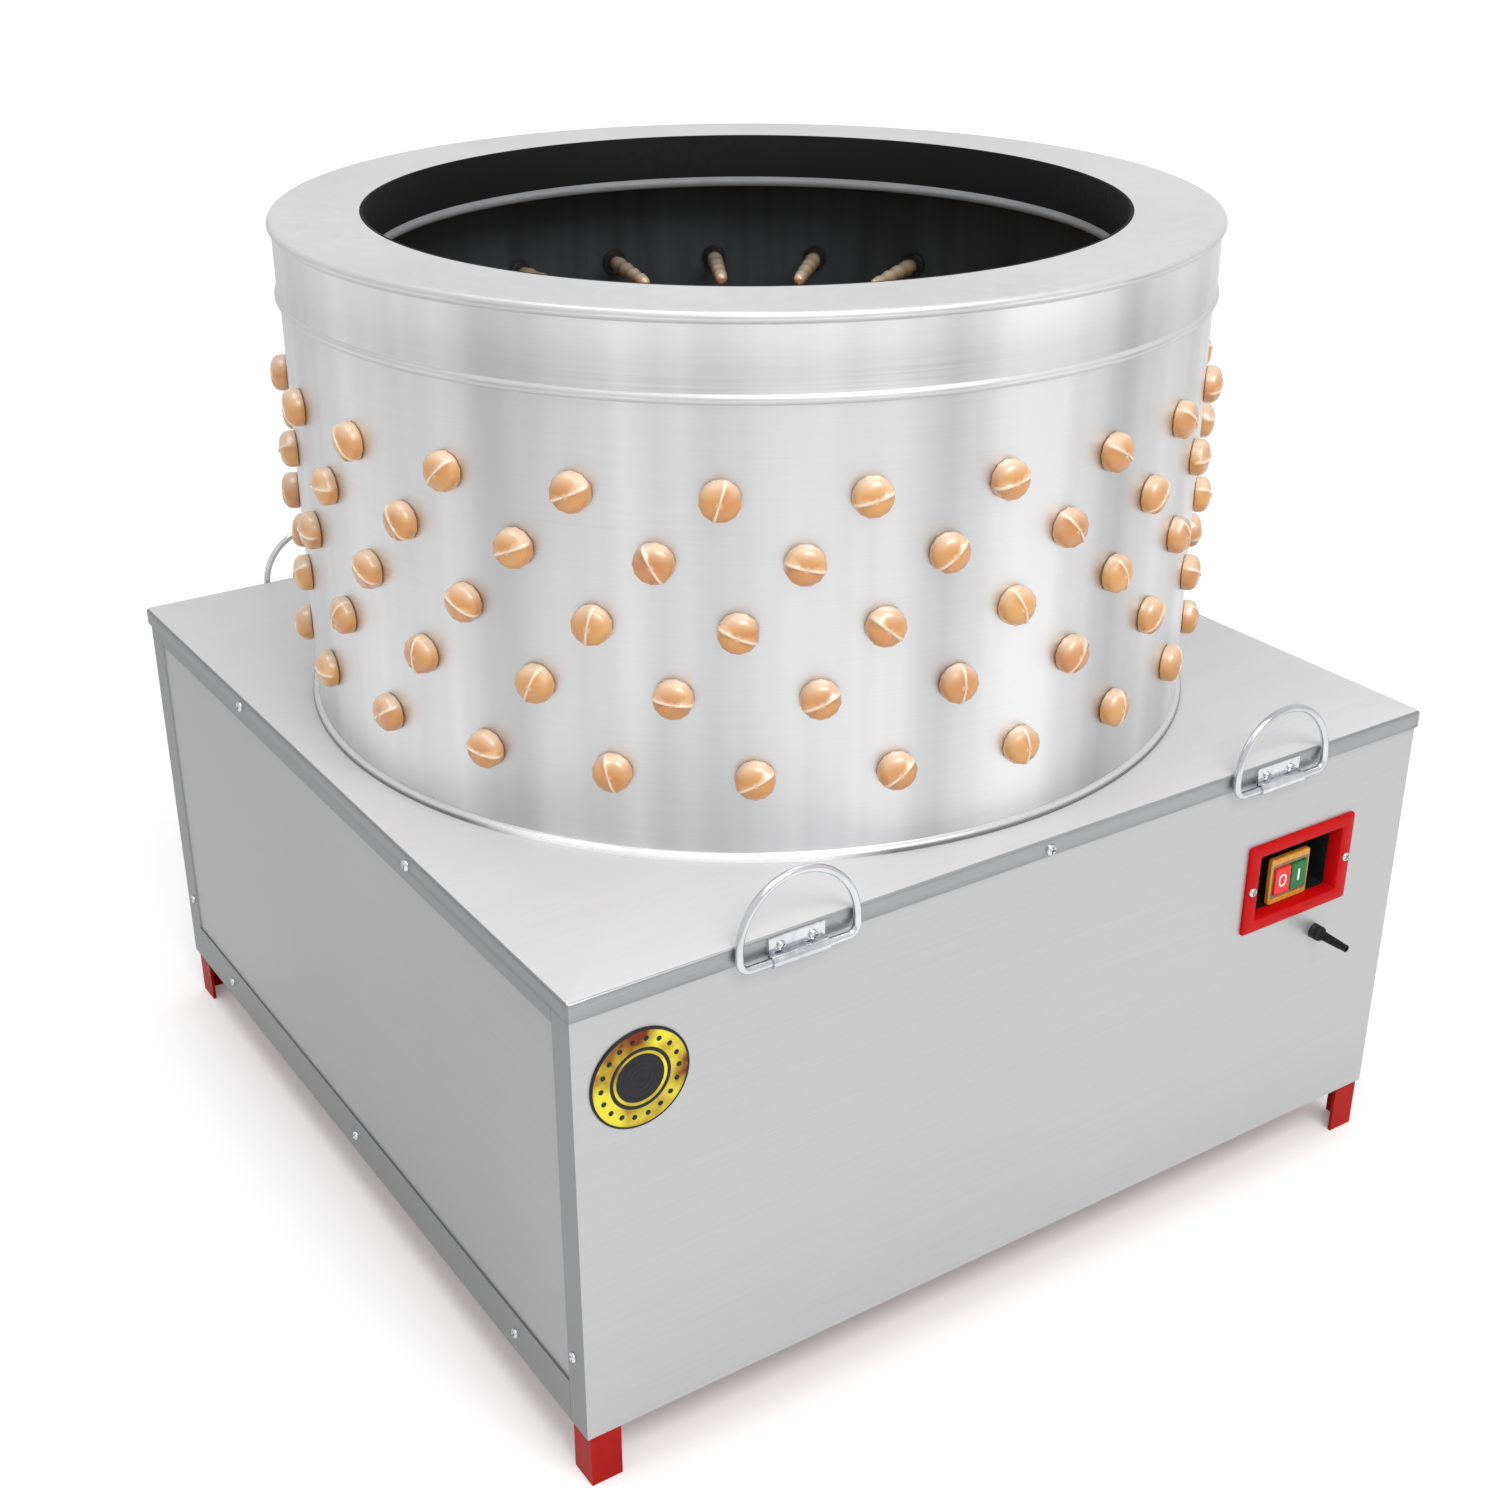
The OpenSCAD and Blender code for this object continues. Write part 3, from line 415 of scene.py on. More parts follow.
def tone_where_marked(material, mark, tone):
    """The finish takes on a tone where the points of its piece are marked."""
    nodes = material.node_tree.nodes
    links = material.node_tree.links
    base = nodes["Principled BSDF"].inputs["Base Color"]
    amount = nodes.new("ShaderNodeAttribute")
    amount.attribute_name = mark
    blend = nodes.new("ShaderNodeMix")
    blend.data_type = "RGBA"
    blend.inputs[7].default_value = tone
    links.new(amount.outputs["Fac"], blend.inputs[0])
    links.new(base.links[0].from_socket, blend.inputs[6])
    links.new(blend.outputs[2], base)


# The broad vertical bands of tone in this finish are painted reflections; the top ring's upright faces take
# it too.
drum_steel_painted_reflections = surface("drum_steel_painted_reflections", tint(194, 194, 195), tint(234, 234, 235), (0.38, 0.48), 1.0,
                     grain=(6, 6, 700), patch=(9, 9, 0.25), mix=0.92, bump=0.02, span=(0.38, 0.62))
drum = lathe("drum_piece", [(drum_radius, z) for z in (deck_top, *wall_levels, drum_head)]
             + [(drum_radius - drum_sheet, z) for z in (drum_head, deck_top)])
lay(drum, drum_steel_painted_reflections)
stand_for(drum, "drum_shell")

hem_gap = 0.1
hem_radius = 4.9
hem_foot = 0.8
highlight_middle = -132.0
highlight_half = 17.0
highlight_fade = 8.0
hem_shade_bands = ((2.5, 0.9), (3.5, 0.6), (hem_foot + hem_radius + 1.0, 0.35))
# The hem's bright tone is a painted highlight, kept in a band facing the camera; painted shade, deepest at
# the foot as a painted contact shadow, darkens the rest.
hem_steel = surface("hem_steel", tint(234, 235, 236), tint(250, 250, 250), (0.24, 0.34), 0.5,
                    grain=(8, 8, 500), patch=(4, 4, 4), bump=0.04)
tone_where_marked(hem_steel, "hem_painted_shade", tint(92, 93, 95))
hem = lathe("drum_hem_piece", [(drum_radius + hem_gap, deck_top), (drum_radius + hem_radius, deck_top)]
            + bend(drum_radius + hem_gap, deck_top + hem_foot, hem_radius, 0, 90, 6))
hem_painted_shade = hem.data.attributes.new("hem_painted_shade", "FLOAT", "POINT")
for i, point in enumerate(hem.data.vertices):
    facing = math.degrees(math.atan2(point.co.y, point.co.x))
    off = abs((facing - highlight_middle + 180.0) % 360.0 - 180.0) - highlight_half
    rise = point.co.z / MM - deck_top
    depth = next(amount for level, amount in hem_shade_bands if rise < level)
    hem_painted_shade.data[i].value = depth * min(1.0, max(0.0, off / highlight_fade))
lay(hem, hem_steel)
stand_for(hem, "drum_base_hem")

# Lining: black sheet rolled and fitted inside the drum to hold the fingers' roots. Its face is matt, with
# faint streaks of tone running from top to bottom.
lining_radius = 364.2
lining_inner = lining_radius - 2.5
lining_head = 801.7
lining = surface("lining", tint(17, 19, 21), tint(54, 58, 62), (0.5, 0.68), grain=(60, 60, 4),
                 patch=(9, 9, 3), bump=0.3)
liner = lathe("lining_piece", [(lining_radius, z) for z in (deck_top, lining_head)]
              + [(lining_inner, z) for z in (lining_head, *reversed(wall_levels), deck_top)])
lay(liner, lining)
stand_for(liner, "drum_liner")

# Top ring: a spun stainless annulus with a rolled outer lip, a skirt that slips over the drum and a rolled
# bead along the skirt's lower edge.
ring_top = 804.0
ring_under = ring_top - 2.0
ring_inner = 300.8
ring_flats = (330.0, 355.0)
lip_radius = 4.0
skirt_radius = drum_radius + 1.8
skirt_inner = skirt_radius - 1.5
bead_radius = 4.0
bead_height = ring_top - 57.0
ring_steel = surface("ring_steel", tint(194, 194, 195), tint(208, 208, 209), (0.42, 0.54), 0.6,
                     grain=(90, 90, 700), patch=(4, 4, 0.3), mix=0.8, bump=0.04)
ring = lathe("top_ring_piece",
             [(ring_inner, ring_under)] + [(radius, ring_top) for radius in (ring_inner, *ring_flats)]
             + bend(skirt_radius - 1.0, ring_top - lip_radius, lip_radius, 90, -70, 12)
             + [(skirt_radius, ring_top - 8.5), (skirt_radius, bead_height + bead_radius)]
             + bend(skirt_radius - 2.0, bead_height, bead_radius, 55, -75, 10)
             + [(skirt_inner, bead_height - bead_radius), (skirt_inner, ring_under)], angle=50.0)
lay(ring, ring_steel, drum_steel_painted_reflections)
for face in ring.data.polygons:
    face.material_index = 1 if abs(face.normal.z) < 0.2 else 0
stand_for(ring, "top_ring")

# Mouth collar: a black rubber-coated band that lines the mouth, tucked under the ring, with a rolled bead
# along its lower edge, coloured grey as a painted highlight.
mouth_radius = 298.0
collar_outer = mouth_radius + 2.5
collar_break = 0.4
flange_outer = mouth_radius + 28.0
flange_under = ring_under - 2.0
roll_radius = 4.5
roll_height = ring_top - 41.5
roll_top = roll_height + roll_radius
collar_black = surface("collar_black", tint(11, 11, 12), tint(18, 18, 19), (0.6, 0.75),
                       grain=(200, 200, 200), patch=(7, 7, 7), bump=0.25, Specular_IOR_Level=0.12)
bead_painted_highlight = surface("bead_painted_highlight", tint(122, 123, 125), tint(150, 151, 153), (0.4, 0.55), grain=(40, 40, 400),
                    patch=(7, 7, 7), bump=0.15)
collar = lathe("mouth_collar_piece",
               [(mouth_radius, ring_top - collar_break), (mouth_radius + collar_break, ring_top),
                (collar_outer, ring_top), (collar_outer, ring_under), (flange_outer, ring_under),
                (flange_outer, flange_under), (collar_outer, flange_under)]
               + bend(mouth_radius + 3.0, roll_height, roll_radius, 95, -180, 16)
               + [(mouth_radius - 1.3, roll_height + 1.5), (mouth_radius, roll_top)], angle=50.0)
lay(collar, collar_black, bead_painted_highlight)
# Faces below the bead's top take the grey, a painted highlight.
for face in collar.data.polygons:
    face.material_index = 1 if face.center.z < roll_top * MM else 0
stand_for(collar, "mouth_collar")

# Plucking fingers: moulded tan rubber. A domed head with a bar across it stays outside, a groove snaps into
# the wall, and a ribbed tapering shank reaches in. Pushed through by hand, so each bar lies as it comes.
head_radius = 14.5
head_height = 13.0
dome_foot = 4.0
neck_radius = 9.9
root_radius = 11.5
root_length = 4.3
tip_radius = 5.5
shank_taper = 2.0
rib_count = 4
plain_tip = 10.0
finger_reach = 100.0
wall_grip = 4.3
row_count = 23
row_heights = (268.0, 223.0, 175.0, 125.0, 65.0)
row_start = 186.9
row_turn = 6.93


def finger_outline(grip):
    """Half section of a finger, (radius, height), head upwards and seated at height 0."""
    line = [(0.0, head_height)]
    for a in (82, 68, 54, 40, 26, 12):
        c, s = math.cos(math.radians(a)), math.sin(math.radians(a))
        line.append((head_radius * c ** 0.8, dome_foot + (head_height - dome_foot) * s ** 0.8))
    line += [(head_radius, 3.0), (head_radius, 1.0), (head_radius - 0.8, 0.15), (neck_radius, 0.15)]
    line += [(neck_radius, -grip - 0.3)]
    top = -grip - root_length
    tip = -grip - finger_reach
    line += [(11.0, -grip - 0.3), (root_radius, -grip - 0.8), (root_radius, top + 0.8), (10.8, top)]
    pitch = (top - tip - plain_tip) / rib_count
    for k in range(rib_count):
        for part, out in ((0.2, -0.5), (0.5, -0.3), (0.7, 0.6), (0.85, 0.4)):
            z = top - (k + part) * pitch
            line.append((tip_radius + shank_taper * (z - tip) / (top - tip) + out, z))
    for a in (0, 30, 60):
        c, s = math.cos(math.radians(a)), math.sin(math.radians(a))
        line.append((tip_radius * c, tip + tip_radius - tip_radius * s))
    line.append((0.0, tip))
    return line


def finger_shape(name, grip, lined):
    """One finger, its points marked for painted light, a highlight on the bar across its head and paler on
    its shank, and for painted shade, faint on the shank and black round a root in the lined wall."""
    half_bar = 0.65
    bar_lift = 0.9
    bar_from = 4.5
    # Amounts of painted light on the bar and shank, and of painted shade on the root and shank.
    bar_highlight, shank_light = 0.85, 0.3
    root_shade, shank_shade = 1.0, 0.3
    shade_end = -(grip + 9.0) * MM
    outline = finger_outline(grip)

    def spokes(radius):
        edge = math.degrees(math.asin(min(0.5, half_bar / radius))) if radius else 10.0
        foot = edge + 4.0
        gap = 90.0 - foot
        fan = [-foot, -edge, 0.0, edge, foot, foot + gap * 0.33, foot + gap * 0.67, 90.0]
        fan += [180.0 - foot - gap * 0.67, 180.0 - foot - gap * 0.33]
        return fan + [180.0 + a for a in fan]

    rings = []
    around = len(spokes(head_radius))
    for k in range(around):
        ring = []
        for radius, height in outline:
            a = math.radians(spokes(radius)[k])
            lift = bar_lift if k % (around // 2) in (1, 2, 3) and height > bar_from else 0.0
            reach = radius + 0.2 * lift
            ring.append((reach * math.cos(a), reach * math.sin(a), height + lift))
        rings.append(ring)
    finger = skin(name, rings, angle=62.0)
    marks = finger.data.attributes
    for mark in ("rubbed", "soot"):
        marks.new(mark, "FLOAT", "POINT")
    for i, point in enumerate(finger.data.vertices):
        on_bar = point.co.z > bar_from * MM and abs(point.co.y) < (half_bar + 0.1) * MM
        on_shank = point.co.z < 0.0
        in_shade = lined and on_shank and point.co.z > shade_end
        marks["rubbed"].data[i].value = bar_highlight if on_bar else shank_light if on_shank else 0.0
        marks["soot"].data[i].value = root_shade if in_shade else shank_shade if on_shank else 0.0
    return finger


def new_tree(name, inputs):
    """An empty tree that gives a shape, and the values of its named inputs."""
    tree = bpy.data.node_groups.new(name, "GeometryNodeTree")
    tree.interface.new_socket("Geometry", in_out="OUTPUT", socket_type="NodeSocketGeometry")
    for title, kind in inputs:
        tree.interface.new_socket(title, in_out="INPUT", socket_type="NodeSocket" + kind)
    return tree, tree.nodes.new("NodeGroupInput").outputs


def stood_on(tree, points, facing, piece, seed, most):
    """In a tree, a piece stood on each point, rolled at random by up to the most, and made real."""
    add = tree.nodes.new
    link = tree.links.new
    shape = add("GeometryNodeObjectInfo")
    link(piece, shape.inputs["Object"])
    stand = add("GeometryNodeInstanceOnPoints")
    link(points, stand.inputs["Points"])
    link(shape.outputs["Geometry"], stand.inputs["Instance"])
    link(facing, stand.inputs["Rotation"])
    chance = add("FunctionNodeRandomValue")
    chance.data_type = "FLOAT"
    chance.inputs[2].default_value = 0.0
    chance.inputs[3].default_value = most
    link(seed, chance.inputs["Seed"])
    roll = add("ShaderNodeCombineXYZ")
    link(chance.outputs[1], roll.inputs["Z"])
    spin = set_up(add("GeometryNodeRotateInstances"), Local_Space=True)
    link(stand.outputs[0], spin.inputs["Instances"])
    link(roll.outputs[0], spin.inputs["Rotation"])
    real = add("GeometryNodeRealizeInstances")
    link(spin.outputs[0], real.inputs[0])
    return real.outputs[0]


def painted(tree, shape, finish):
    """The tree, ended with a finish on the shape."""
    coat = tree.nodes.new("GeometryNodeSetMaterial")
    tree.links.new(shape, coat.inputs["Geometry"])
    tree.links.new(finish, coat.inputs["Material"])
    tree.links.new(coat.outputs[0], tree.nodes.new("NodeGroupOutput").inputs[0])
    return tree


def ring_of_fingers():
    """A tree that stands fingers in a ring, heads outwards or downwards, each turned at random, with painted
    light added on whatever faces up."""
    tree, given = new_tree("ring_of_fingers", (
        ("Finger", "Object"), ("Count", "Int"), ("Ring Radius", "Float"), ("Height", "Float"),
        ("Start Angle", "Float"), ("Lean", "Float"), ("Seed", "Int"), ("Finish", "Material")))
    add = tree.nodes.new
    link = tree.links.new

    def sum_up(operation, a, b):
        node = add("ShaderNodeMath")
        node.operation = operation
        for i, value in enumerate((a, b)):
            if isinstance(value, float):
                node.inputs[i].default_value = value
            elif value is not None:
                link(value, node.inputs[i])
        return node.outputs[0]

    step = sum_up("DIVIDE", 2 * math.pi, given["Count"])
    gone = sum_up("MULTIPLY", add("GeometryNodeInputIndex").outputs[0], step)
    turn = sum_up("ADD", gone, given["Start Angle"])
    spot = add("ShaderNodeCombineXYZ")
    link(sum_up("MULTIPLY", sum_up("COSINE", turn, None), given["Ring Radius"]), spot.inputs["X"])
    link(sum_up("MULTIPLY", sum_up("SINE", turn, None), given["Ring Radius"]), spot.inputs["Y"])
    link(given["Height"], spot.inputs["Z"])
    spots = add("GeometryNodePoints")
    link(given["Count"], spots.inputs["Count"])
    link(spot.outputs[0], spots.inputs["Position"])
    lean = add("ShaderNodeCombineXYZ")
    link(given["Lean"], lean.inputs["Y"])
    link(turn, lean.inputs["Z"])
    facing = add("FunctionNodeEulerToRotation")
    link(lean.outputs[0], facing.inputs[0])
    real = stood_on(tree, spots.outputs[0], facing.outputs[0], given["Finger"], given["Seed"], 2 * math.pi)
    # Painted light: faces that look up are made paler, as if lit from above.
    upward = add("ShaderNodeSeparateXYZ")
    link(add("GeometryNodeInputNormal").outputs["Normal"], upward.inputs[0])
    top_light = set_up(add("ShaderNodeMapRange"), From_Min=0.05, From_Max=0.9, To_Max=0.75)
    link(upward.outputs["Z"], top_light.inputs["Value"])
    rubbed = set_up(add("GeometryNodeInputNamedAttribute"), Name="rubbed")
    rubbed.data_type = "FLOAT"
    top_lit = set_up(add("GeometryNodeStoreNamedAttribute"), Name="rubbed")
    top_lit.data_type = "FLOAT"
    top_lit.domain = "POINT"
    link(real, top_lit.inputs["Geometry"])
    link(sum_up("ADD", top_light.outputs["Result"], rubbed.outputs[0]), top_lit.inputs["Value"])
    return painted(tree, top_lit.outputs[0], given["Finish"])


def grown(name, tree, inputs, start=None):
    """The tree's result as a plain mesh piece, grown on the given points or on nothing."""
    seedling = bpy.data.objects.new(name + "_start", start or bpy.data.meshes.new(name + "_start"))
    scene.collection.objects.link(seedling)
    grower = seedling.modifiers.new("tree", "NODES")
    grower.node_group = tree
    sockets = {item.name: item.identifier for item in tree.interface.items_tree if item.item_type == "SOCKET"}
    for title, value in inputs.items():
        grower[sockets[title]] = value
    bpy.context.view_layer.update()
    ready = seedling.evaluated_get(bpy.context.evaluated_depsgraph_get())
    mesh = bpy.data.meshes.new_from_object(ready)
    mesh.name = name
    seedling.modifiers.clear()
    bpy.data.objects.remove(seedling)
    piece = bpy.data.objects.new(name, mesh)
    scene.collection.objects.link(piece)
    return piece


tan_rubber = surface("tan_rubber", tint(178, 104, 26), tint(205, 145, 58), (0.3, 0.42), grain=(60, 60, 60),
                     patch=(16, 16, 16), mix=0.6, bump=0.1, Specular_IOR_Level=0.9, Coat_Weight=1.0,
                     Coat_Roughness=0.26)
# The pale tone is painted light: a highlight on the bars, paler shanks and upper faces. The dark tone is
# painted shade on the shanks and round the wall fingers' roots.
tone_where_marked(tan_rubber, "rubbed", tint(226, 204, 178))
tone_where_marked(tan_rubber, "soot", tint(34, 30, 28))
finger_tree = ring_of_fingers()
wall_finger = finger_shape("wall_finger", wall_grip, True)
for row, height in enumerate(row_heights):
    fingers = grown("wall_fingers_%d_piece" % (row + 1), finger_tree, {
        "Finger": wall_finger, "Count": row_count, "Ring Radius": drum_radius * MM,
        "Height": (deck_top + height) * MM, "Start Angle": math.radians(row_start - row * row_turn),
        "Lean": math.radians(90.0), "Seed": 11 + row, "Finish": tan_rubber})
    stand_for(fingers, "wall_fingers_row_%d" % (row + 1))
bpy.data.objects.remove(wall_finger)

# Feather plate: a laser-cut stainless disc that spins under the birds, bolted to the shaft's hub, with three
# rings of the same fingers standing on it and a capped nut in its middle.
plate_under = 430.0
plate_sheet = 4.0
plate_rings = ((240.7, 18), (162.7, 12), (84.7, 7))
plate_steel = surface("plate_steel", tint(190, 191, 193), tint(216, 217, 218), (0.3, 0.44), 1.0,
                      grain=(300, 300, 300), patch=(5, 5, 5), bump=0.06)
dress("feather_plate", plate_steel, 0.5 * MM)
plate_finger = finger_shape("plate_finger", plate_sheet, False)
plate_group = []
for j, (radius, count) in enumerate(plate_rings):
    plate_group.append(grown("plate_fingers_%d_piece" % (j + 1), finger_tree, {
        "Finger": plate_finger, "Count": count, "Ring Radius": radius * MM, "Height": plate_under * MM,
        "Start Angle": math.radians(j / len(plate_rings) * 360 / count), "Lean": math.radians(180.0),
        "Seed": 31 + j, "Finish": tan_rubber}))
for ring_piece in plate_group:
    stand_for(ring_piece, "plate_fingers")
bpy.data.objects.remove(plate_finger)

# Screws: plated pan-head screws with a cross recess, driven by hand through the deck's fold, the side strips
# and the returns, so that each cross stands as it comes.
def screw_shape(name, radius, height):
    """A pan head with a cross cut into it, standing on height 0."""
    arm = 0.62 * radius
    width = 0.15 * radius
    steps = 24
    levels = ((1.0, 0.0), (1.0, 0.35), (0.94, 0.62), (0.8, 0.84), (0.68, 0.95))
    rings = []
    turns = [2 * math.pi * k / steps for k in range(steps)]
    for scale, rise in levels:
        reach = radius * scale
        rings.append([(reach * math.cos(a), reach * math.sin(a), height * rise) for a in turns])
    cross = []
    for quarter in range(4):
        a = math.radians(90 * quarter)
        for along, across in ((arm, -width), (arm, 0.0), (arm, width), (width * 1.6, width * 1.05),
                              (width, width), (width * 1.05, width * 1.6)):
            x = along * math.cos(a) - across * math.sin(a)
            y = along * math.sin(a) + across * math.cos(a)
            cross.append((x, y))
    shift = cross[1:] + cross[:1]
    rings.append([(x, y, height) for x, y in shift])
    rings.append([(0.8 * x, 0.8 * y, 0.3 * height) for x, y in shift])
    return skin(name, rings, close=False, caps=True, angle=40.0)


def set_at_places():
    """A tree that sets a piece on each marked point, facing the point's own way, turned at random."""
    quarter_turn = 1.57
    tree, given = new_tree("set_at_places", (
        ("Places", "Geometry"), ("Screw", "Object"), ("Seed", "Int"), ("Finish", "Material")))
    out = set_up(tree.nodes.new("GeometryNodeInputNamedAttribute"), Name="out")
    out.data_type = "FLOAT_VECTOR"
    facing = tree.nodes.new("FunctionNodeAlignRotationToVector")
    facing.axis = "Z"
    tree.links.new(out.outputs[0], facing.inputs["Vector"])
    real = stood_on(tree, given["Places"], facing.outputs[0], given["Screw"], given["Seed"], quarter_turn)
    return painted(tree, real, given["Finish"])


def marked_points(name, places):
    """Points in millimetres, each with the direction that its screw faces."""
    mesh = bpy.data.meshes.new(name)
    mesh.from_pydata([Vector(p) * MM for p, _ in places], [], [])
    facing = mesh.attributes.new("out", "FLOAT_VECTOR", "POINT")
    for i, (_, way) in enumerate(places):
        facing.data[i].vector = way
    return mesh


def four_sides(side, along, depth, z):
    """A place on one side of the cabinet, 0 front, 1 right, 2 rear, 3 left, and the way it faces."""
    a = math.radians(90 * side)
    c, s = math.cos(a), math.sin(a)
    return (along * c + depth * s, along * s - depth * c, z), (s, -c, 0.0)


def set_screws(name, radius, height, seed, places):
    """Plated screws of one size, each set at its place."""
    screw = screw_shape(name + "_shape", radius, height)
    screws = grown(name, screw_tree, {"Screw": screw, "Seed": seed, "Finish": plated},
                   marked_points(name + "_places", places))
    bpy.data.objects.remove(screw)
    return screws


body_half = 397.5
fold_screw_height = 402.5
fold_screw_spread = 163.0
strip_screw_height = 64.0
strip_screw_spread = 290.0
return_screw_height = 111.0
return_screw_spread = 381.7
screw_tree = set_at_places()
fold_places = [four_sides(side, 0.0, deck_half, fold_screw_height) for side in (0, 2)]
fold_places += [four_sides(side, way * fold_screw_spread, deck_half, fold_screw_height)
                for side in (1, 3) for way in (-1, 1)]
strip_places = [four_sides(side, way * strip_screw_spread, body_half, strip_screw_height)
                for side in (1, 3) for way in (-1, 0, 1)]
strip_places += [four_sides(side, way * return_screw_spread, body_half, return_screw_height)
                 for side in (1, 3) for way in (-1, 1)]
fold_screws = set_screws("fold_screws_piece", 4.5, 2.6, 3, fold_places)
strip_screws = set_screws("strip_screws_piece", 4.0, 2.4, 4, strip_places)
for screws in (fold_screws, strip_screws):
    stand_for(screws, "panel_screws")

# Carrying handles: bright plated wire bent to a D with its bar in a rolled strap clip, two screws in each
# clip. Two at the front edge of the deck and two at the back, leaning a little against the fold.
handle_places = (("front_left", 0, -225.0), ("front_right", 0, 233.0),
                 ("rear_left", 2, 233.0), ("rear_right", 2, -233.0))
handle_half = 48.0
handle_corner = 8.0
handle_leg = 6.0
handle_lean = math.radians(2.5)
wire = 3.0
wire_steps = 14
bar_depth = 404.6
bar_height = 394.0
chrome = surface("chrome", tint(196, 198, 202), tint(228, 229, 232), (0.1, 0.2), 1.0, grain=(60, 60, 60),
                 patch=(12, 12, 12), bump=0.04)


def wire_path():
    """The D's middle line: straight bar, two small corners, short legs and a half circle, (along, up)."""
    bar_half = handle_half - handle_corner
    line = [(t * bar_half, 0.0) for t in (-1.0, -0.5, 0.0, 0.5, 1.0)]
    line += bend(bar_half, handle_corner, handle_corner, -90, 0, 6)[1:]
    line += bend(0.0, handle_corner + handle_leg, handle_half, 0, 180, 28)
    line += bend(-bar_half, handle_corner, handle_corner, 180, 270, 6)[:-1]
    return line


def handle_piece(name, side, along):
    """Wire swept along the D, leaning back from the given side of the cabinet."""
    path = wire_path()
    rings = []
    for i, (u, v) in enumerate(path):
        ahead = path[(i + 1) % len(path)]
        behind = path[i - 1]
        way = Vector((ahead[0] - behind[0], ahead[1] - behind[1])).normalized()
        ring = []
        for k in range(wire_steps):
            a = 2 * math.pi * k / wire_steps
            du = -way.y * wire * math.cos(a)
            dv = way.x * wire * math.cos(a)
            off = wire * math.sin(a)
            up = (v + dv) * math.cos(handle_lean) - off * math.sin(handle_lean)
            depth = bar_depth - (v + dv) * math.sin(handle_lean) - off * math.cos(handle_lean)
            ring.append(four_sides(side, along + u + du, depth, bar_height + up)[0])
        rings.append(ring)
    piece = skin(name, rings)
    lay(piece, chrome)
    return piece


for name, side, along in handle_places:
    stand_for(handle_piece("handle_%s_piece" % name, side, along), "handle_" + name)

clip_face = 401.5
clip_half = 23.0
clip_edge = 22.6
clip_screw_spread = 13.0
knuckle_outer = 4.6
knuckle_inner = 3.1


def clip_outline():
    """Section of a clip, (depth, up): a strap on the fold that is rolled round the wire at its foot."""
    strap_top = bar_height + 16.0
    line = [(deck_half, strap_top), (clip_face - 0.4, strap_top), (clip_face, strap_top - 0.4)]
    line += [(clip_face, bar_height + 3.4)]
    line += bend(bar_depth, bar_height, knuckle_outer, 132, -215, 22)
    line += bend(bar_depth, bar_height, knuckle_inner, -208, 125, 20)
    line += [(402.6, bar_height + 2.9), (deck_half, bar_height + 4.4)]
    return line


clips = []
for name, side, along in handle_places:
    rings = []
    for u in (-clip_half, -clip_edge, clip_edge, clip_half):
        rings.append([four_sides(side, along + u, depth, up)[0] for depth, up in clip_outline()])
    clips.append(skin("handle_clip_%s_piece" % name, rings, close=False, caps=True))
for clip in clips:
    lay(clip, plated)
    stand_for(clip, "handle_clips")
clip_places = [four_sides(side, along + u, clip_face, fold_screw_height) for _, side, along in handle_places
               for u in (-clip_screw_spread, clip_screw_spread)]
stand_for(set_screws("handle_screws_piece", 3.6, 2.2, 5, clip_places), "handle_screws")

# Switch: a glossy red moulded box sunk in the front panel, its mouth sloped in to a well whose deep faces
# are painted black as shade, with a black switch block, an amber surround and two buttons marked with a
# plain ring and a plain bar.
box_x = 275.0
box_z = 297.0
well_z = box_z - 2.2
switch_z = box_z - 7.0
panel_front = -body_half


def soft_rectangle(half_w, half_h, corner, y, x0=box_x, z0=box_z):
    """A rounded rectangle of points that faces the front."""
    ring = []
    for sx, sz, start in ((1, 1, 0), (-1, 1, 90), (-1, -1, 180), (1, -1, 270)):
        for px, pz in bend(sx * (half_w - corner), sz * (half_h - corner), corner, start, start + 90, 5):
            ring.append((x0 + px, y, z0 + pz))
    return ring


switch_red = surface("switch_red", tint(168, 2, 6), tint(194, 8, 12), (0.34, 0.44), grain=(120, 120, 120),
                     patch=(16, 16, 16), bump=0.02, Specular_IOR_Level=0.1)
rim = panel_front - 3.0
well_back = panel_front + 43.0
switch_rings = [
    soft_rectangle(60.0, 40.0, 2.5, panel_front), soft_rectangle(60.0, 40.0, 2.5, rim + 1.2),
    soft_rectangle(59.6, 39.6, 2.3, rim + 0.4), soft_rectangle(58.8, 38.8, 2.0, rim),
    soft_rectangle(48.6, 30.6, 2.0, rim), soft_rectangle(47.4, 29.4, 2.0, rim + 0.4),
    soft_rectangle(47.0, 29.0, 2.0, rim + 1.2),
    soft_rectangle(45.5, 26.5, 2.0, panel_front + 9.0, box_x, box_z - 2.1),
    soft_rectangle(45.5, 26.2, 2.0, panel_front + 14.0, box_x, well_z),
    soft_rectangle(45.5, 26.2, 2.0, well_back, box_x, well_z), soft_rectangle(2.0, 2.0, 1.0, well_back)]
back_rings = [soft_rectangle(2.0, 2.0, 1.0, well_back + 2.0),
              soft_rectangle(49.0, 31.0, 2.0, well_back + 2.0), soft_rectangle(49.0, 31.0, 2.0, panel_front)]
switch_box = skin("switch_box_piece", switch_rings + back_rings, angle=40.0)
lay(switch_box, switch_red, moulded_black)
# The deep faces of the well take the black as painted shade.
shade_half_w = 45.6
shade_half_h = 28.5
shade_from = panel_front + 9.2
for face in switch_box.data.polygons:
    across = abs(face.center.x - box_x * MM)
    upright = abs(face.center.z - box_z * MM)
    inner = across < shade_half_w * MM and upright < shade_half_h * MM
    face.material_index = 1 if inner and face.center.y > shade_from * MM else 0
stand_for(switch_box, "switch_box")

bezel_front = panel_front + 7.0
button_front = bezel_front - 2.0


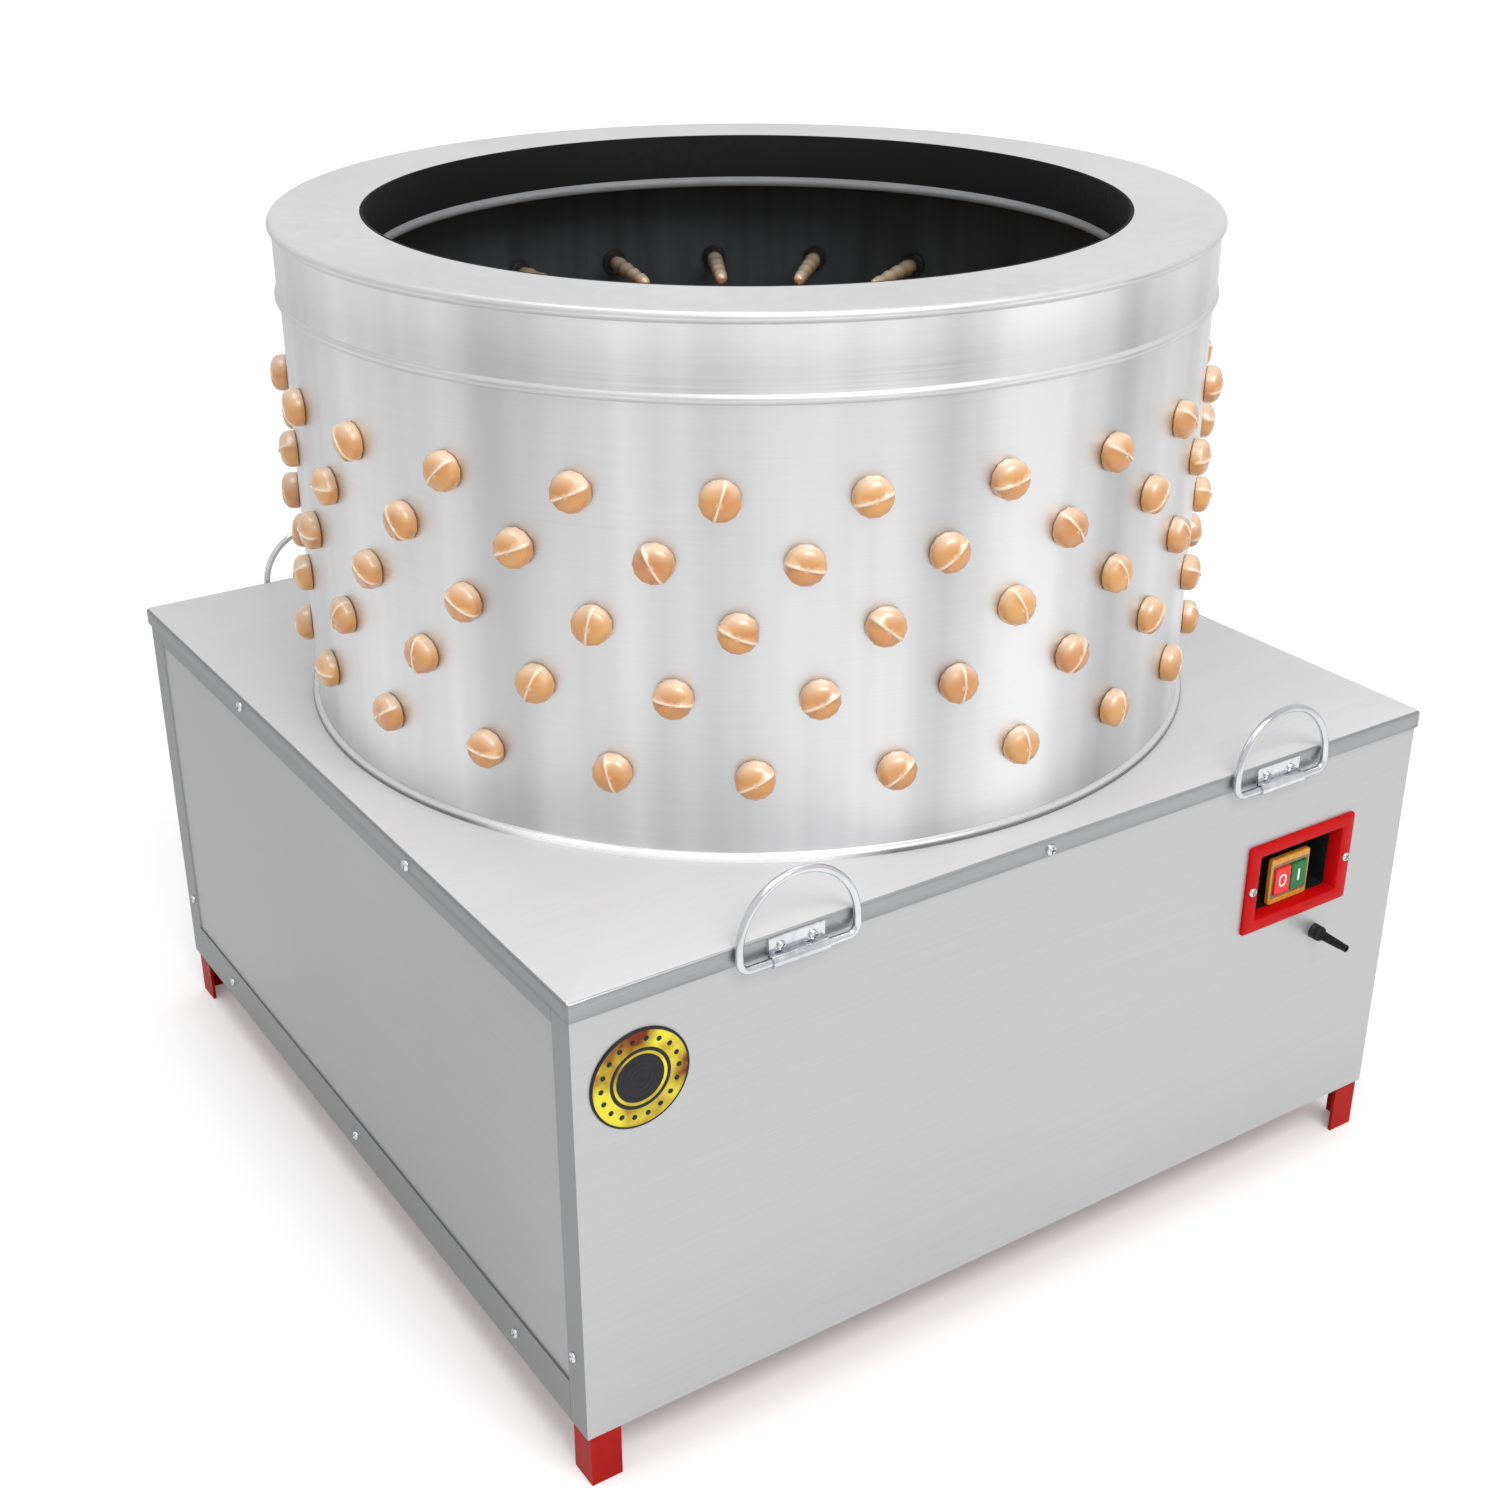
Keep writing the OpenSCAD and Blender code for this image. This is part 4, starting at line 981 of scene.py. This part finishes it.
def switch_ring(half_w, half_h, corner, y, x=box_x):
    """A rounded rectangle about the switch's own middle, a little below the box's."""
    return soft_rectangle(half_w, half_h, corner, y, x, switch_z)


block = skin("switch_block_piece", [
    switch_ring(20.0, 19.0, 1.5, bezel_front + 4.0), switch_ring(20.0, 19.0, 1.5, bezel_front + 33.0),
    switch_ring(18.0, 17.0, 1.5, bezel_front + 36.0)], close=False, caps=True)
lay(block, moulded_black)
stand_for(block, "switch_body")

amber = surface("amber", tint(186, 122, 30), tint(216, 156, 54), (0.22, 0.34), grain=(260, 260, 260),
                patch=(40, 40, 40), bump=0.08, Specular_IOR_Level=0.4)
smoky = surface("smoky", tint(104, 84, 58), tint(134, 112, 82), (0.2, 0.3), grain=(260, 260, 260),
                patch=(40, 40, 40), bump=0.05, Specular_IOR_Level=0.5)
smoky_half_w = 20.4
smoky_half_h = 15.6
bezel = skin("switch_surround_piece", [
    switch_ring(22.0, 21.0, 2.0, bezel_front + 4.0), switch_ring(22.0, 21.0, 2.0, bezel_front + 0.8),
    switch_ring(21.4, 20.4, 1.8, bezel_front), switch_ring(smoky_half_w, smoky_half_h, 1.4, bezel_front),
    switch_ring(19.0, 12.8, 1.2, bezel_front), switch_ring(18.6, 12.4, 1.0, bezel_front + 0.6),
    switch_ring(18.6, 12.4, 1.0, bezel_front + 4.0)])
lay(bezel, amber, smoky)
for face in bezel.data.polygons:
    near_x = abs(face.center.x - box_x * MM) < smoky_half_w * MM
    near_z = abs(face.center.z - switch_z * MM) < smoky_half_h * MM
    face.material_index = 1 if near_x and near_z and face.center.y < (bezel_front + 3.0) * MM else 0
stand_for(bezel, "switch_bezel")

mark_white = surface("mark_white", tint(226, 226, 224), tint(244, 244, 242), (0.3, 0.42),
                     grain=(400, 400, 400), patch=(60, 60, 60), bump=0.05)


def button_piece(name, x):
    """A cap with broken edges and a slightly dished face."""
    y = button_front
    return skin(name, [
        switch_ring(8.75, 12.0, 0.8, y + 10.0, x), switch_ring(8.75, 12.0, 0.8, y + 0.9, x),
        switch_ring(8.45, 11.7, 1.0, y + 0.2, x), switch_ring(7.9, 11.1, 1.0, y, x),
        switch_ring(5.0, 8.0, 1.0, y + 0.5, x), switch_ring(2.5, 4.0, 1.0, y + 0.7, x)],
        close=False, caps=True, angle=50.0)


def ring_mark(name, x):
    """A flat white ring, let into the button's face."""
    y = button_front
    return skin(name, [
        switch_ring(4.2, 5.6, 4.1, y + 0.9, x), switch_ring(4.2, 5.6, 4.1, y + 0.2, x),
        switch_ring(2.9, 4.3, 2.8, y + 0.2, x), switch_ring(2.9, 4.3, 2.8, y + 0.9, x)])


def bar_mark(name, x):
    """A flat white bar, let into the button's face."""
    y = button_front
    return skin(name, [switch_ring(0.9, 5.4, 0.4, y + 0.9, x), switch_ring(0.9, 5.4, 0.4, y + 0.2, x)],
                close=False, caps=True)


stop_red = surface("stop_red", tint(206, 34, 34), tint(226, 50, 46), (0.2, 0.32), grain=(300, 300, 300),
                   patch=(50, 50, 50), bump=0.03, Specular_IOR_Level=0.3)
start_green = surface("start_green", tint(10, 92, 40), tint(24, 118, 56), (0.2, 0.32), grain=(300, 300, 300),
                      patch=(50, 50, 50), bump=0.03, Specular_IOR_Level=0.3)
button_shift = 9.35
for body, x, colour, mark in (("stop_button", box_x - button_shift, stop_red, ring_mark),
                              ("start_button", box_x + button_shift, start_green, bar_mark)):
    cap = button_piece(body + "_piece", x)
    lay(cap, colour)
    stand_for(cap, body)
    sign = mark(body + "_mark_piece", x)
    lay(sign, mark_white)
    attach(sign, body)

box_screw_spread = 54.0
box_places = [four_sides(0, box_x + way * box_screw_spread, -rim, box_z) for way in (-1, 1)]
stand_for(set_screws("switch_screws_piece", 4.0, 2.4, 6, box_places), "switch_screws")

# Cable gland and boot: a moulded black gland through the front panel with its nut inside, and a soft ribbed
# boot that tapers to the cable's size.
gland_centre = (306.0, 0.0, 232.0)
bore = 2.2
stem = 4.5
gland_front = 401.5
boot_end = 433.5
boot_ribs = 6
rib_pitch = 3.2
gland = lathe("cable_gland_piece", [
    (bore, 383.5), (stem, 383.5), (stem, 391.0), (7.2, 391.0), (7.6, 391.5), (7.6, 395.5), (7.2, 396.0),
    (stem, 396.0), (stem, body_half), (6.5, body_half), (6.5, gland_front - 0.6), (5.9, gland_front),
    (bore, gland_front)], 48, "y", gland_centre)
lay(gland, moulded_black)
stand_for(gland, "cable_gland")
boot_line = [(bore, gland_front), (5.9, gland_front), (6.5, 402.1)] + bend(3.5, 404.5, 3.0, 0, 70, 5)
for k in range(boot_ribs):
    y = 409.5 + rib_pitch * k
    taper = 4.0 - 0.12 * k
    boot_line += [(taper, y), (taper, y + 1.8), (taper - 0.5, y + 2.1), (taper - 0.5, y + 2.9)]
boot_line += [(3.1, 429.5), (3.1, 433.2), (2.8, boot_end), (bore, boot_end)]
soft_black = surface("soft_black", tint(12, 12, 13), tint(26, 26, 28), (0.5, 0.65), grain=(500, 500, 500),
                     patch=(40, 40, 40), bump=0.2, Specular_IOR_Level=0.3)
boot = lathe("cable_boot_piece", boot_line, 40, "y", gland_centre)
lay(boot, soft_black)
stand_for(boot, "cable_boot")

# Badge: a thin pressed disc of gold-coloured foil with a dark edge, a ring of plain dark dots, and a dark
# middle turned in fine rings, glued to the front panel.
badge_centre = (-347.0, 0.0, 336.0)
badge_front = 398.4
badge_radius = 38.0
edge_from = 36.0
band_from, band_to = 20.3, 23.6
middle_to = 18.2
stud_count = 18
stud_reach = 29.8
stud_steps = 12
badge_line = [(0.0, body_half), (badge_radius, body_half), (badge_radius, 398.5), (37.5, 398.85)]
badge_line += [(36.2, 398.85), (35.6, badge_front)]
badge_line += [(24.0, badge_front), (23.4, 398.7), (20.6, 398.7), (20.0, badge_front), (18.4, badge_front)]
for radius in (18.0, 14.0, 10.0, 6.0):
    badge_line += [(radius, 398.3), (radius - 1.2, 398.5), (radius - 2.4, 398.5), (radius - 3.6, 398.3)]
badge_line += [(0.0, 398.3)]
gold = surface("gold", tint(118, 48, 22), tint(226, 212, 66), (0.24, 0.36), 0.75, grain=(60, 500, 60),
               patch=(26, 26, 26), mix=0.95, bump=0.06, span=(0.36, 0.56))
badge_dark = surface("badge_dark", tint(10, 9, 14), tint(26, 23, 30), (0.3, 0.45), grain=(200, 200, 200),
                     patch=(30, 30, 30), bump=0.1, Specular_IOR_Level=0.3)
badge = lathe("badge_piece", badge_line, 96, "y", badge_centre)
lay(badge, gold, badge_dark)
for face in badge.data.polygons:
    reach = math.hypot(face.center.x - badge_centre[0] * MM, face.center.z - badge_centre[2] * MM) / MM
    dark = reach > edge_from or band_from < reach < band_to or reach < middle_to
    face.material_index = 1 if dark else 0
stand_for(badge, "badge")
stud_turns = [2 * math.pi * k / stud_steps for k in range(stud_steps)]
stud_rings = []
for r, z in ((2.0, -0.1), (2.0, 0.1), (1.5, 0.35), (0.5, 0.45)):
    stud_rings.append([(r * math.cos(a), r * math.sin(a), z) for a in stud_turns])
stud = skin("badge_stud", stud_rings, close=False, caps=True)
stud_places = []
for k in range(stud_count):
    a = 2 * math.pi * k / stud_count
    x = badge_centre[0] + stud_reach * math.cos(a)
    z = badge_centre[2] + stud_reach * math.sin(a)
    stud_places.append(((x, -badge_front, z), (0.0, -1.0, 0.0)))
studs = grown("badge_studs_piece", screw_tree, {"Screw": stud, "Seed": 7, "Finish": badge_dark},
              marked_points("stud_places", stud_places))
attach(studs, homes["badge"])
bpy.data.objects.remove(stud)
